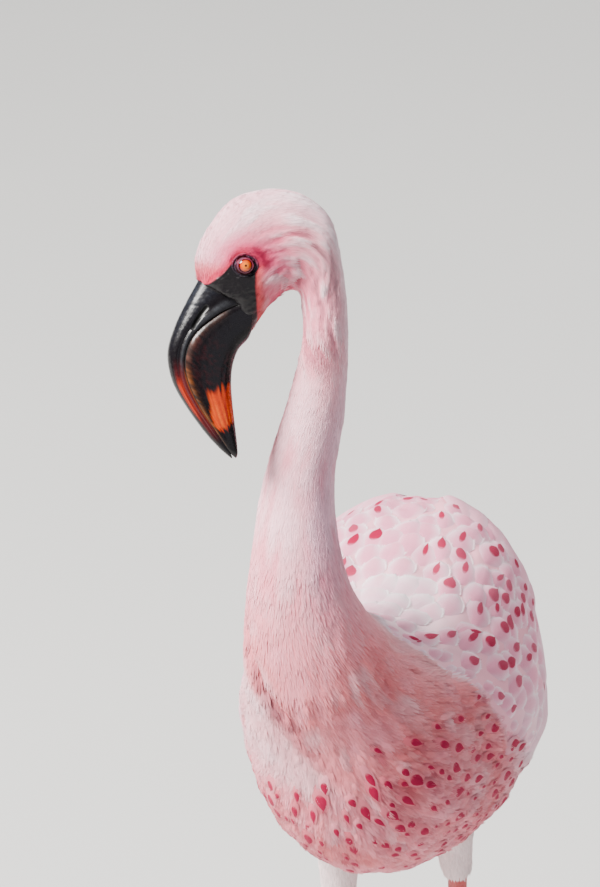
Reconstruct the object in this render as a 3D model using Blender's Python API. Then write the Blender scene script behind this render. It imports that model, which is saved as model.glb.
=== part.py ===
"""A lesser flamingo standing at life size, in metres: +Z up, facing -Y, its left side at +X.

The neck stands up from the front of the trunk, and the head is turned to the bird's right, with its left
side tilted up. The trunk's middle plane is X = 0 until centre_on_floor() moves the finished bird, so that
the origin is the middle of its bounding box, on the floor.
"""

import math

import bmesh
import bpy
import numpy as np
from mathutils import Vector

GAP = 0.0003  # between solids that touch

# Trunk and tail: places are from the trunk's middle, which is this high.
BODY_HEIGHT = 0.470
BODY_SIDES = 26  # points round the trunk
NECK_BLEND = 0.034  # how softly the neck runs into the breast
# The blended masses of the trunk: centre (y, z) and radii (x, y, z).
TRUNK_MASSES = (
    ((-0.052, -0.003), (0.066, 0.102, 0.076)),  # breast
    ((0.022, -0.006), (0.067, 0.128, 0.075)),  # belly and back
    ((0.000, -0.032), (0.077, 0.096, 0.056)),  # flanks
    ((0.062, 0.017), (0.044, 0.092, 0.049)),  # folded shoulder feathers over the rump
    ((0.140, -0.010), (0.033, 0.088, 0.013)),  # tail
)
TRUNK_BLEND = 0.030
# The line through the trunk's cross-sections, from the foot of the neck to the tip of the tail: (x, y, z),
# and how far its upward direction leans back, in degrees. The first ones turn about a line over the mantle.
TRUNK_LINE = (
    (-0.0350, -0.126, 0.1455, 110.0),
    (-0.0330, -0.127, 0.1160, 84.0),
    (-0.0250, -0.122, 0.0840, 56.0),
    (-0.0150, -0.106, 0.0560, 31.0),
    (-0.0070, -0.082, 0.0370, 12.0),
    (-0.0020, -0.050, 0.0260, 3.0),
    (0.0000, -0.012, 0.0190, 0.0),
    (0.0000, 0.028, 0.0140, 0.0),
    (0.0000, 0.068, 0.0080, 0.0),
    (0.0000, 0.108, 0.0000, 0.0),
    (0.0000, 0.150, -0.0060, 0.0),
    (0.0000, 0.200, -0.0110, 0.0),
)
TAIL_STARTS = 9.45  # place on the trunk line
TAIL_ENDS = 11.0

# Head and bill: profile points in mm from the middle of the eyes, x to the back of the head, y up.
HEAD_TURN = 73.0  # degrees to the bird's right, from facing forward
HEAD_TILT = 21.0  # degrees that the left side is turned up
HEAD_LIFT = 3.5  # degrees that the bill is raised
EYES_AT = (-0.0680, -0.1020, 0.3022)  # from the trunk's middle
# top (x, y), underside (x, y) and half width, from the root of the bill over the crown and down the nape
HEAD_PROFILE = (
    (-23.9, -8.4, 2.5, -40.3, 10.6),
    (-25.6, 4.8, 8.6, -31.7, 14.2),
    (-18.6, 21.2, 15.0, -23.0, 16.8),
    (-3.0, 38.0, 22.0, -16.0, 18.0),
    (25.0, 41.8, 28.4, -12.2, 17.6),
    (47.8, 27.8, 31.7, -14.9, 16.0),
    (56.0, -3.2, 33.4, -26.3, 14.6),
    (58.8, -33.3, 33.0, -44.1, 13.8),
)
# The neck below the head: (x, y, z) from the trunk's middle and radius.
NECK_LINE = (
    (-0.0240, -0.1020, 0.2426, 0.0145),
    (-0.0278, -0.1050, 0.2170, 0.0169),
    (-0.0334, -0.1100, 0.1920, 0.0187),
    (-0.0360, -0.1170, 0.1685, 0.0213),
)
NECK_JOINS_TRUNK = (-0.0350, -0.1260, 0.1455, 0.0248)
NECK_IN_BREAST = (
    (-0.0325, -0.1330, 0.1160, 0.0300),
    (-0.0240, -0.1285, 0.0750, 0.0410),
    (-0.0120, -0.1010, 0.0320, 0.0530),
)
NECK_SIDES = 20
HEAD_CUT, NECK_CUT = 4.55, 8.0  # places on the head and neck where one length ends

# Bill: culmen (x, y), edge of the mouth (x, y), underside (x, y), half widths of the upper and lower halves.
BILL_PROFILE = (
    (-23.9, -8.4, -2.2, -19.8, 2.5, -40.3, 10.4, 10.4),
    (-30.3, -20.0, -14.4, -26.4, -2.0, -45.4, 9.4, 10.4),
    (-36.4, -33.2, -26.2, -36.4, -4.8, -53.6, 8.2, 10.2),
    (-40.1, -47.0, -31.0, -48.0, -5.6, -63.3, 7.2, 9.6),
    (-37.6, -62.0, -30.0, -60.4, -4.9, -73.8, 6.4, 8.7),
    (-29.5, -76.6, -23.4, -75.0, -3.6, -84.8, 5.6, 7.5),
    (-17.6, -92.6, -13.4, -90.4, -2.2, -96.4, 4.6, 6.0),
    (-5.6, -104.8, -4.0, -104.0, -1.6, -104.4, 3.0, 3.4),
)
BILL_STATIONS = 17
BILL_ARC = 9  # points over each half of the bill

EYE_RADIUS = 0.0058
EYE_SPOT = (0.0, 1.6)  # on the head's profile
EYE_BULGE = 0.0016  # how far the eyeball stands out of the head
EYE_SEGMENTS, EYE_RINGS = 16, 9

# Folded wings: place on the trunk line, and angles from the middle of the back, in degrees.
WING_STARTS, WING_ENDS = 3.60, 10.60
WING_EDGES = (  # share of the length, upper edge, lower edge, thickness in mm
    (0.00, 70.0, 90.0, 2.0),
    (0.10, 47.0, 112.0, 6.0),
    (0.28, 33.0, 127.0, 9.0),
    (0.50, 21.0, 130.0, 10.5),
    (0.72, 13.0, 121.0, 10.0),
    (0.88, 12.0, 106.0, 7.5),
    (1.00, 36.0, 84.0, 3.0),
)
WING_SAG = 1.7  # above 1, a wing is thickest below its middle
WING_RIM = 0.0012
WING_GAP = 0.0013
WING_LIFTS = 0.0016  # how far its tip stands off the tail
WING_STATIONS, WING_ACROSS = 17, 9

# Legs, for the bird's left and right: (x, y) and height above the floor.
LEG_SIDES = 12
LEGS = {
    "left": {
        "side": 1,
        "hip": (0.029, 0.004, 0.438),
        "thigh_end": (0.0345, 0.0250, 0.334),
        "ankle": (0.0330, 0.0400, 0.222),
        "foot": (0.0350, 0.0300, 0.016),
    },
    "right": {
        "side": -1,
        "hip": (-0.028, -0.016, 0.438),
        "thigh_end": (-0.0300, -0.0080, 0.324),
        "ankle": (-0.0300, 0.0150, 0.217),
        "foot": (-0.0330, 0.0030, 0.016),
    },
}
THIGH_RINGS, SHIN_RINGS, TARSUS_RINGS = 9, 9, 16
KNUCKLES = ((0, -0.0005, -0.004), (0, -0.0015, -0.009), (0, -0.0020, -0.0145))
LEG_RADII = (  # sideways, and fore and aft
    ((0.025, 0.036), (0.022, 0.031), (0.0170, 0.021), (0.0125, 0.0145), (0.0098, 0.0105)),
    ((0.0056, 0.0056), (0.0052, 0.0054), (0.0051, 0.0054), (0.0054, 0.0060), (0.0074, 0.0088)),
    ((0.0074, 0.0088), (0.0062, 0.0072), (0.0043, 0.0049), (0.0040, 0.0046), (0.0040, 0.0046),
     (0.0042, 0.0046), (0.0050, 0.0050), (0.0062, 0.0062)),
    ((0.0062, 0.0062), (0.0072, 0.0072), (0.0078, 0.0078), (0.0060, 0.0060)),
)

# Feet: toe name, length, turn outwards in degrees, radius at its root.
TOES = (
    ("inner", 0.050, -29.0, 0.0040),
    ("middle", 0.066, 2.0, 0.0044),
    ("outer", 0.059, 31.0, 0.0040),
)
HIND_TOE = ("hind", 0.013, 168.0, 0.0024)
TOE_SIDES = 8
TOE_TIP = 0.55  # of its root's radius
WEB_BOTTOM, WEB_TOP = 0.0007, 0.0023
WEB_REACH, WEB_SAG = 0.90, 0.74  # shares of the toes' length, at the toes and midway between them
CLAW_LENGTH = 0.0075
CLAW_BASE = 0.62  # of the toe's radius at its root

PINK_WHITE = (0.90, 0.70, 0.70)
PALE = (0.93, 0.84, 0.85)
BILL_BLACK = (0.035, 0.025, 0.03)
BILL_CRIMSON = (0.10, 0.018, 0.024)
EYE_ORANGE = (0.90, 0.33, 0.03)
LEG_RED = (0.80, 0.16, 0.14)
WEB_GREY = (0.52, 0.27, 0.28)
CLAW_GREY = (0.10, 0.10, 0.12)


def clear_scene():
    for obj in list(bpy.data.objects):
        bpy.data.objects.remove(obj)


def finish(name, color, roughness):
    """The Principled material called name, made at its first use."""
    material = bpy.data.materials.get(name)
    if material is None:
        material = bpy.data.materials.new(name)
        material.use_nodes = True
        shader = material.node_tree.nodes["Principled BSDF"]
        shader.inputs["Base Color"].default_value = (*color, 1.0)
        shader.inputs["Roughness"].default_value = roughness
        shader.inputs["Metallic"].default_value = 0.0
    return material


def unit(vectors):
    return vectors / np.linalg.norm(vectors, axis=-1, keepdims=True)


def smooth_rows(rows, places):
    """Rows read between one another, at fractional places, along a Catmull-Rom curve."""
    rows = np.asarray(rows, float)
    ends = np.vstack([2 * rows[0] - rows[1], rows, 2 * rows[-1] - rows[-2]])
    places = np.atleast_1d(np.asarray(places, float))
    first = np.clip(places.astype(int), 0, len(rows) - 2)
    t = (places - first)[:, None]
    a, b, c, d = (ends[first + step] for step in range(4))
    return 0.5 * (2 * b + (c - a) * t + (2 * a - 5 * b + 4 * c - d) * t**2 + (3 * b - a - 3 * c + d) * t**3)


def add_solid(name, vertices, faces, material, sharp=50.0):
    """A named object from points and faces, shaded smooth, with its faces turned outwards."""
    mesh = bpy.data.meshes.new(name)
    mesh.from_pydata([tuple(v) for v in vertices], [], faces)
    shaped = bmesh.new()
    shaped.from_mesh(mesh)
    bmesh.ops.recalc_face_normals(shaped, faces=shaped.faces)
    shaped.to_mesh(mesh)
    shaped.free()
    mesh.shade_smooth()
    mesh.set_sharp_from_angle(angle=math.radians(sharp))
    mesh.materials.append(material)
    obj = bpy.data.objects.new(name, mesh)
    bpy.context.scene.collection.objects.link(obj)
    return obj


def add_loft(name, rings, material):
    """A closed body through rings of as many points each, with flat ends."""
    rings = np.asarray(rings)
    count, sides = rings.shape[:2]
    faces = [
        (i * sides + j, i * sides + (j + 1) % sides, (i + 1) * sides + (j + 1) % sides, (i + 1) * sides + j)
        for i in range(count - 1)
        for j in range(sides)
    ]
    faces.append(tuple(range(sides)))
    faces.append(tuple(range((count - 1) * sides, count * sides)))
    return add_solid(name, rings.reshape(-1, 3), faces, material)


def as_cutter(obj):
    obj.hide_render = True
    obj.display_type = "WIRE"
    return obj


def boolean(obj, other, operation):
    """Cuts other from obj, or joins it on, and leaves other as a hidden helper."""
    modifier = obj.modifiers.new(f"{operation.lower()} {other.name}", "BOOLEAN")
    modifier.operation = operation
    modifier.object = as_cutter(other)
    modifier.solver = "EXACT"


# --- the trunk as one blended surface ---------------------------------------------------------------------


def ellipsoid_distance(points, centre, radii):
    from_centre = points - np.array(centre)
    near = np.linalg.norm(from_centre / np.array(radii), axis=-1)
    slope = np.linalg.norm(from_centre / np.array(radii) ** 2, axis=-1)
    return near * (near - 1) / np.maximum(slope, 1e-9)


def neck_distance(points):
    """Distance to the foot of the neck, a line that widens as it sinks into the breast."""
    stations = (NECK_LINE[-1], NECK_JOINS_TRUNK, *NECK_IN_BREAST)
    line = smooth_rows(stations, np.linspace(0, len(stations) - 1, 13))
    nearest = np.full(points.shape[:-1], 1.0)
    for start, end in zip(line[:-1], line[1:]):
        along = end[:3] - start[:3]
        share = np.clip((points - start[:3]) @ along / (along @ along), 0, 1)
        closest = start[:3] + share[..., None] * along
        radius = start[3] + share * (end[3] - start[3])
        nearest = np.minimum(nearest, np.linalg.norm(points - closest, axis=-1) - radius)
    return nearest


def smooth_least(a, b, blend):
    share = np.clip(0.5 + 0.5 * (b - a) / blend, 0, 1)
    return b + (a - b) * share - blend * share * (1 - share)


def outside_trunk(points):
    """How far points are outside the trunk, the foot of the neck and the tail, roughly."""
    found = None
    for (y, z), radii in TRUNK_MASSES:
        mass = ellipsoid_distance(points, (0, y, z), radii)
        found = mass if found is None else smooth_least(found, mass, TRUNK_BLEND)
    return smooth_least(found, neck_distance(points), NECK_BLEND)


def trunk_points(places, angles, lift=0.0):
    """Points of the trunk's surface, at places on its line and angles from the middle of the back."""
    places, angles, lift = np.broadcast_arrays(places, angles, lift)
    line = smooth_rows(TRUNK_LINE, places.ravel())
    origin, lean = line[:, :3], np.radians(line[:, 3])
    up = np.column_stack([np.zeros(len(lean)), np.sin(lean), np.cos(lean)])
    turned = np.radians(angles.ravel())[:, None]
    ray = up * np.cos(turned) + np.array((1.0, 0.0, 0.0)) * np.sin(turned)
    reach = np.linspace(0, 0.17, 120)
    far = outside_trunk(origin[:, None] + reach[:, None] * ray[:, None])
    after = np.argmax(far > 0, axis=1)
    row = np.arange(len(after))
    inside, outside = far[row, after - 1], far[row, after]
    length = reach[after - 1] + (reach[1] - reach[0]) * inside / (inside - outside)
    found = origin + (length + lift.ravel())[:, None] * ray
    found[:, 2] += BODY_HEIGHT
    return found.reshape(*places.shape, 3)


def trunk_rings(places, lift=0.0):
    angles = np.arange(BODY_SIDES) * 360 / BODY_SIDES
    return trunk_points(np.asarray(places)[:, None], angles[None, :], lift)


def seam_ring(ring, towards):
    """A ring moved by half a gap, square to itself, to the side where the point towards lies."""
    centre = ring.mean(axis=0)
    normal = np.linalg.svd(ring - centre)[2][2]
    side = np.sign((towards - centre) @ normal)
    return ring + side * normal * GAP / 2


def trimmed(rings):
    """Rings with both end rings moved inwards, so that a neighbour's seam keeps the gap."""
    rings = rings.copy()
    rings[0] = seam_ring(rings[0], rings[1].mean(axis=0))
    rings[-1] = seam_ring(rings[-1], rings[-2].mean(axis=0))
    return rings


def make_trunk(feathers):
    bend = np.linspace(0, 4, 13)
    back = np.linspace(4, TAIL_STARTS, 12)[1:]
    places = np.concatenate([bend, back])
    add_loft("trunk", trimmed(trunk_rings(places)), feathers)
    return as_cutter(add_loft("trunk_grown", trunk_rings(places, lift=2 * GAP), feathers))


def make_tail(feathers):
    places = np.linspace(TAIL_STARTS, TAIL_ENDS, 6)
    add_loft("tail", trimmed(trunk_rings(places)), feathers)


def make_wing(side, feathers):
    """A folded wing: a pad that lies on the trunk, thickest along its middle."""
    sign = 1 if side == "left" else -1
    table = np.array(WING_EDGES)
    shares = np.linspace(0, 1, WING_STATIONS)
    upper, lower, thick = (np.interp(shares, table[:, 0], table[:, k]) for k in (1, 2, 3))
    across = np.linspace(0, 1, WING_ACROSS)
    angles = sign * (upper[:, None] + (lower - upper)[:, None] * across)
    swell = np.sin(np.pi * across**WING_SAG) ** 0.7
    lift = WING_GAP + WING_RIM + (thick[:, None] / 1000) * swell
    places = (WING_STARTS + (WING_ENDS - WING_STARTS) * shares)[:, None]
    off_tail = WING_LIFTS * shares[:, None] ** 2
    outer = trunk_points(places, angles, lift + off_tail)
    inner = trunk_points(places, angles, WING_GAP + off_tail)
    rings = np.concatenate([outer, inner[:, ::-1]], axis=1)
    add_loft(f"wing_{side}", rings, feathers)


# --- head, neck and bill ----------------------------------------------------------------------------------


def head_axes():
    """The head's own directions: to the back of the head, up, and out of its left side."""
    turn, tilt, lift = (math.radians(angle) for angle in (90 - HEAD_TURN, HEAD_TILT, HEAD_LIFT))
    back = np.array((math.cos(turn), math.sin(turn), 0.0))
    up = np.array((-math.sin(turn) * math.sin(tilt), math.cos(turn) * math.sin(tilt), math.cos(tilt)))
    left = np.cross(back, up)
    return math.cos(lift) * back - math.sin(lift) * up, math.cos(lift) * up + math.sin(lift) * back, left


def in_head(x, y, aside=0.0):
    """A point of the head's profile, in mm, moved aside towards the head's left."""
    back, up, left = head_axes()
    middle = np.array(EYES_AT) + np.array((0, 0, BODY_HEIGHT))
    return middle + (x * back + y * up + aside * left) / 1000


def head_and_neck_rows():
    """One row for each station: nape side, throat side, sideways direction and half width."""
    back, up, left = head_axes()
    rows = []
    for x_top, y_top, x_under, y_under, half_width in HEAD_PROFILE:
        rows.append((*in_head(x_top, y_top), *in_head(x_under, y_under), *left, half_width / 1000))
    stations = (*NECK_LINE, NECK_JOINS_TRUNK)
    for number, (x, y, z, radius) in enumerate(stations, 1):
        share = number / len(stations)
        nape = unit((1 - share) * back + share * np.array((0.0, 1.0, 0.0)))
        tangent = neck_direction(stations, number - 1)
        nape = unit(nape - (nape @ tangent) * tangent)
        aside = np.cross(nape, -tangent)
        centre = np.array((x, y, z + BODY_HEIGHT))
        rows.append((*(centre + radius * nape), *(centre - radius * nape), *aside, radius))
    return np.array(rows)


def neck_direction(stations, number):
    """The neck's downward direction at one of its stations."""
    above, below = stations[max(number - 1, 0)], stations[min(number + 1, len(stations) - 1)]
    if number == len(stations) - 1:
        lean = math.radians(TRUNK_LINE[0][3])
        return np.array((0.0, math.cos(lean), -math.sin(lean)))
    return unit(np.array(below[:3]) - np.array(above[:3]))


def head_and_neck_rings(places):
    turned = np.arange(NECK_SIDES) * 2 * math.pi / NECK_SIDES
    rings = []
    for row in smooth_rows(head_and_neck_rows(), places):
        nape, throat, aside, half_width = row[:3], row[3:6], row[6:9], row[9]
        centre, half_height = (nape + throat) / 2, (nape - throat) / 2
        sideways = unit(aside) * half_width
        rings.append(centre + np.outer(np.cos(turned), half_height) + np.outer(np.sin(turned), sideways))
    return np.array(rings)


def make_head_and_neck(skin):
    last = len(HEAD_PROFILE) + len(NECK_LINE)
    head_rings = head_and_neck_rings(np.linspace(0, HEAD_CUT, 16))
    head = add_loft("head", trimmed(head_rings), skin)
    add_loft("neck_upper", trimmed(head_and_neck_rings(np.linspace(HEAD_CUT, NECK_CUT, 13))), skin)
    add_loft("neck_lower", trimmed(head_and_neck_rings(np.linspace(NECK_CUT, last, 9))), skin)
    return head


def bill_rows(count):
    return smooth_rows(BILL_PROFILE, np.linspace(0, len(BILL_PROFILE) - 1, count))


def bill_ring(edge, far, half_width, square, sign):
    """One cross-section of half a bill: flat where the halves meet, and an arch over to its far side."""
    turned = np.linspace(0, math.pi, BILL_ARC)
    edge, far = np.array(edge), np.array(far)
    depth = far - edge
    edge = edge + depth / np.linalg.norm(depth) * (GAP / 2 * 1000)
    ring = []
    for angle in turned:
        across = math.copysign(abs(math.cos(angle)) ** square, math.cos(angle)) * half_width
        x, y = edge + (far - edge) * math.sin(angle) ** square
        ring.append(in_head(x, y, sign * across))
    return ring


def make_bill(horn_black, horn_crimson):
    upper, lower = [], []
    for row in bill_rows(BILL_STATIONS):
        culmen, edge, under, wide_upper, wide_lower = row[:2], row[2:4], row[4:6], row[6], row[7]
        upper.append(bill_ring(edge, culmen, wide_upper, 0.80, 1))
        lower.append(bill_ring(edge, under, wide_lower, 0.62, -1))
    add_loft("bill_upper", upper, horn_black)
    add_loft("bill_lower", lower, horn_crimson)


def cut_bill_seat(head, skin):
    """Takes the wedge that the root of the bill fills out of the front of the head."""
    culmen, edge, under = (np.array(BILL_PROFILE[0][k : k + 2]) for k in (0, 2, 4))
    gap = GAP * 1000
    upper_way, lower_way = unit(edge - culmen), unit(under - edge)
    into_head = np.array((1.0, -0.35)) * gap * 1.6
    corners = [
        culmen - upper_way * 20 + into_head,
        edge + into_head,
        under + lower_way * 20 + into_head,
        under + lower_way * 20 + np.array((-60.0, -20.0)),
        culmen - upper_way * 20 + np.array((-60.0, -20.0)),
    ]
    rings = [[in_head(*corner, aside) for corner in corners] for aside in (-30.0, 30.0)]
    boolean(head, add_loft("bill_seat", rings, skin), "DIFFERENCE")


def head_half_width_at_eye():
    """Half the head's width where the line through both eyes leaves it, in metres."""
    rings = head_and_neck_rings(np.linspace(0, HEAD_CUT, 60)).reshape(-1, 3)
    back, up, left = head_axes()
    from_eyes = rings - in_head(*EYE_SPOT)
    close = np.argsort(np.hypot(from_eyes @ back, from_eyes @ up) - 1e-3 * (from_eyes @ left > 0))[:6]
    return float(np.abs(from_eyes[close] @ left).max())


def add_ball(name, centre, axis, radius, material):
    """A ball of rings round axis."""
    side = np.cross(axis, np.array((0.0, 0.0, 1.0)))
    side = unit(side)
    other = np.cross(axis, side)
    turned = np.arange(EYE_SEGMENTS) * 2 * math.pi / EYE_SEGMENTS
    rings = []
    for polar in np.linspace(0.16, math.pi - 0.16, EYE_RINGS):
        circle = np.outer(np.cos(turned), side) + np.outer(np.sin(turned), other)
        rings.append(centre + radius * (math.cos(polar) * axis + math.sin(polar) * circle))
    return add_loft(name, rings, material)


def make_eyes(head, iris):
    left = head_axes()[2]
    depth = head_half_width_at_eye() + EYE_BULGE - EYE_RADIUS
    for side, sign in (("left", 1), ("right", -1)):
        centre = in_head(*EYE_SPOT, sign * depth * 1000)
        add_ball(f"eye_{side}", centre, sign * left, EYE_RADIUS, iris)
        socket = add_ball(f"socket_{side}", centre, sign * left, EYE_RADIUS + 1.5 * GAP, iris)
        boolean(head, socket, "DIFFERENCE")


# --- legs and feet ----------------------------------------------------------------------------------------


def tube_rings(points, radii, sides, forward=(0.0, -1.0, 0.0)):
    """Rings round a smooth line through points, each radius (sideways, fore and aft)."""
    radii = np.array([(r, r) if np.isscalar(r) else r for r in radii])
    points = np.asarray(points, float)
    turned = np.arange(sides) * 2 * math.pi / sides
    rings = []
    for number, point in enumerate(points):
        before, after = points[max(number - 1, 0)], points[min(number + 1, len(points) - 1)]
        along = unit(after - before)
        ahead = unit(np.array(forward) - (np.array(forward) @ along) * along)
        aside = np.cross(along, ahead)
        across, deep = radii[number]
        rings.append(point + np.outer(np.cos(turned), aside * across) + np.outer(np.sin(turned), ahead * deep))
    return np.array(rings)


def spread(start, end, count):
    return np.array([np.array(start) + (np.array(end) - np.array(start)) * t for t in np.linspace(0, 1, count)])


def leg_line(side):
    """The middle of the whole leg, from the hip to the ball of the foot, and where its lengths end."""
    leg = LEGS[side]
    hip, thigh_end, ankle, foot = (np.array(leg[key]) for key in ("hip", "thigh_end", "ankle", "foot"))
    line = np.vstack([
        spread(hip, thigh_end, THIGH_RINGS)[:-1],
        spread(thigh_end, ankle, SHIN_RINGS)[:-1],
        spread(ankle, foot, TARSUS_RINGS),
        foot + np.array(KNUCKLES),
    ])
    return line, np.cumsum((0, THIGH_RINGS - 1, SHIN_RINGS - 1, TARSUS_RINGS - 1, len(KNUCKLES)))


def leg_lengths(side):
    """The rings of the thigh, the shin, the tarsus and the ball of the foot."""
    line, ends = leg_line(side)
    lengths = []
    for start, end, table in zip(ends[:-1], ends[1:], LEG_RADII):
        sizes = smooth_rows(table, np.linspace(0, len(table) - 1, end - start + 1))
        radii = np.zeros((len(line), 2))
        radii[start : end + 1] = sizes
        sides = LEG_SIDES + 4 if start == 0 else LEG_SIDES
        lengths.append(trimmed(tube_rings(line, radii, sides)[start : end + 1]))
    return lengths


def make_leg(side, trunk_grown, feathers, scales):
    thigh_rings, shin_rings, tarsus_rings, _ = leg_lengths(side)
    thigh = add_loft(f"thigh_{side}", thigh_rings, feathers)
    boolean(thigh, trunk_grown, "DIFFERENCE")
    add_loft(f"shin_{side}", shin_rings, scales)
    add_loft(f"tarsus_{side}", tarsus_rings, scales)


def toe_line(side, foot, length, turn, root):
    """Centre points of a toe, from under the tarsus to its tip, with two low knuckles."""
    sign = LEGS[side]["side"]
    angle = math.radians(turn) * sign
    ahead = np.array((math.sin(angle), -math.cos(angle), 0.0))
    shares = np.array((0.0, 0.16, 0.42, 0.60, 0.82, 1.0))
    rise = np.array((1.7, 1.10, 0.66, 0.72, 0.56, 0.46)) * root
    start = np.array((foot[0], foot[1], 0.0))
    return np.array([start + ahead * length * share + np.array((0, 0, z)) for share, z in zip(shares, rise)]), ahead


def web_outline(side, foot):
    """The edge of both webs: out along the inner toe, in and out between the toes, and back."""
    sign = LEGS[side]["side"]
    points = [np.array((foot[0], foot[1] + 0.004))]
    for (_, length_a, turn_a, _), (_, length_b, turn_b, _) in zip(TOES[:-1], TOES[1:]):
        for share in np.linspace(0, 1, 9)[: 9 if turn_b == TOES[-1][2] else 8]:
            turn = math.radians(turn_a + (turn_b - turn_a) * share) * sign
            dip = math.sin(math.pi * share)
            reach = (length_a + (length_b - length_a) * share) * (WEB_REACH + (WEB_SAG - WEB_REACH) * dip)
            points.append(np.array((foot[0] + reach * math.sin(turn), foot[1] - reach * math.cos(turn))))
    return points


def make_foot(side, skin, web_skin, horn):
    foot = np.array(LEGS[side]["foot"])
    heel = add_loft(f"foot_{side}", leg_lengths(side)[-1], skin)
    outline = web_outline(side, foot)
    rings = [[(*point, height) for point in outline] for height in (WEB_BOTTOM, WEB_TOP)]
    boolean(heel, add_loft(f"web_{side}", rings, web_skin), "UNION")
    for name, length, turn, root in (*TOES, HIND_TOE):
        line, ahead = toe_line(side, foot, length, turn, root)
        sizes = root * np.array((1.25, 1.12, 0.98, 1.02, 0.80, TOE_TIP))
        toe = add_loft(f"toe_{side}_{name}", tube_rings(line, sizes, TOE_SIDES, forward=(0, 0, 1)), skin)
        boolean(heel, toe, "UNION")
        make_claw(f"claw_{side}_{name}", line[-1], ahead, root, horn)
    floor = spread((foot[0], foot[1] - 0.2, -0.05), (foot[0], foot[1] + 0.2, -0.05), 2)
    boolean(heel, add_loft(f"floor_{side}", tube_rings(floor, (0.0708, 0.0708), 4, forward=(1, 0, 1)), skin), "DIFFERENCE")


def make_claw(name, tip, ahead, root, horn):
    """A short blunt claw that curves down to the floor from the end of its toe."""
    shares = np.linspace(0, 1, 5)
    drop = np.array((0.0, 0.02, 0.10, 0.28, 0.52)) * root
    line = [tip + ahead * (GAP + CLAW_LENGTH * root / 0.0044 * t) - np.array((0, 0, d)) for t, d in zip(shares, drop)]
    sizes = root * CLAW_BASE * np.array((0.80, 0.78, 0.66, 0.46, 0.16))
    add_loft(name, np.maximum(tube_rings(line, sizes, TOE_SIDES, forward=(0, 0, 1)), (-9, -9, 0.0002)), horn)


def centre_on_floor():
    """Moves the whole bird so that the middle of its bounding box is over the origin."""
    bpy.context.view_layer.update()
    graph = bpy.context.evaluated_depsgraph_get()
    corners = []
    for obj in bpy.context.scene.objects:
        if not obj.hide_render:
            made = obj.evaluated_get(graph)
            corners += [made.matrix_world @ Vector(corner) for corner in made.bound_box]
    low = Vector(min(c[k] for c in corners) for k in range(3))
    high = Vector(max(c[k] for c in corners) for k in range(3))
    middle = (low + high) / 2
    for obj in bpy.context.scene.objects:
        obj.location -= Vector((middle.x, middle.y, low.z))


def main():
    clear_scene()
    feathers = finish("feathers", PINK_WHITE, 0.75)
    pale = finish("pale_feathers", PALE, 0.75)
    horn_black = finish("horn_black", BILL_BLACK, 0.35)
    horn_crimson = finish("horn_crimson", BILL_CRIMSON, 0.35)
    iris = finish("iris", EYE_ORANGE, 0.10)
    scales = finish("leg_scales", LEG_RED, 0.55)
    web_skin = finish("web_skin", WEB_GREY, 0.60)
    horn = finish("claw_horn", CLAW_GREY, 0.45)

    trunk_grown = make_trunk(feathers)
    make_tail(pale)
    head = make_head_and_neck(feathers)
    cut_bill_seat(head, horn_black)
    make_eyes(head, iris)
    make_bill(horn_black, horn_crimson)
    for side in ("left", "right"):
        make_wing(side, pale)
        make_leg(side, trunk_grown, pale, scales)
        make_foot(side, scales, web_skin, horn)
    centre_on_floor()


main()
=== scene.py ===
"""A lesser flamingo as a museum shows it: one skin under a coat of feathers, with bill, eyes and legs.

Lengths are in metres, but for the profiles of head and bill, which are in mm. Colours are linear."""

import math

import bmesh
import bpy
import numpy as np
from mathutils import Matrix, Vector
from mathutils.bvhtree import BVHTree

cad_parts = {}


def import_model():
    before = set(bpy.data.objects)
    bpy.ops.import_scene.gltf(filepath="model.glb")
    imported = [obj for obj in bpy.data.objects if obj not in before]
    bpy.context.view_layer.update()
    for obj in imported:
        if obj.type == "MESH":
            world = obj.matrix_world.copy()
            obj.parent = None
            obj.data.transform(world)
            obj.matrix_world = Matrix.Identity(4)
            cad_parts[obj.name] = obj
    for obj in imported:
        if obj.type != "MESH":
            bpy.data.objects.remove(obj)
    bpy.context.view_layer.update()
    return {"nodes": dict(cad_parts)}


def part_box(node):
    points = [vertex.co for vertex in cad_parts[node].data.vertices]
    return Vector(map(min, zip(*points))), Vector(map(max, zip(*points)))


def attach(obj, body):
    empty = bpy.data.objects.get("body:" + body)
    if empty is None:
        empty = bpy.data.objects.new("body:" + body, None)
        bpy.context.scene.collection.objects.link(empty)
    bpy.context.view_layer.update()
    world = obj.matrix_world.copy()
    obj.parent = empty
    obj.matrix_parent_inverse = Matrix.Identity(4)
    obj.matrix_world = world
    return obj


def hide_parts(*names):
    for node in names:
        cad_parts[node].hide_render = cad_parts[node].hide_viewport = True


SEED = 7
FLESH = ("head", "neck_upper", "neck_lower", "trunk", "tail", "wing_left", "wing_right",
         "thigh_left", "thigh_right")

# Head, as in the CAD: profile points in mm from the middle of the eyes, x to the back of the head, y up.
HEAD_TURN, HEAD_TILT, HEAD_LIFT = 73.0, 21.0, 3.5
EYE_SPOT = (0.0, 1.6)
# top (x, y), underside (x, y) and half width, from the root of the bill over the crown and down the nape
HEAD_PROFILE = (
    (-23.9, -8.4, 2.5, -40.3, 10.6),
    (-25.6, 4.8, 8.6, -31.7, 14.2),
    (-18.6, 21.2, 15.0, -23.0, 16.8),
    (-3.0, 38.0, 22.0, -16.0, 18.0),
    (25.0, 41.8, 28.4, -12.2, 17.6),
    (47.8, 27.8, 31.7, -14.9, 16.0),
    (56.0, -3.2, 33.4, -26.3, 14.6),
    (58.8, -33.3, 33.0, -44.1, 13.8),
)
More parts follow.
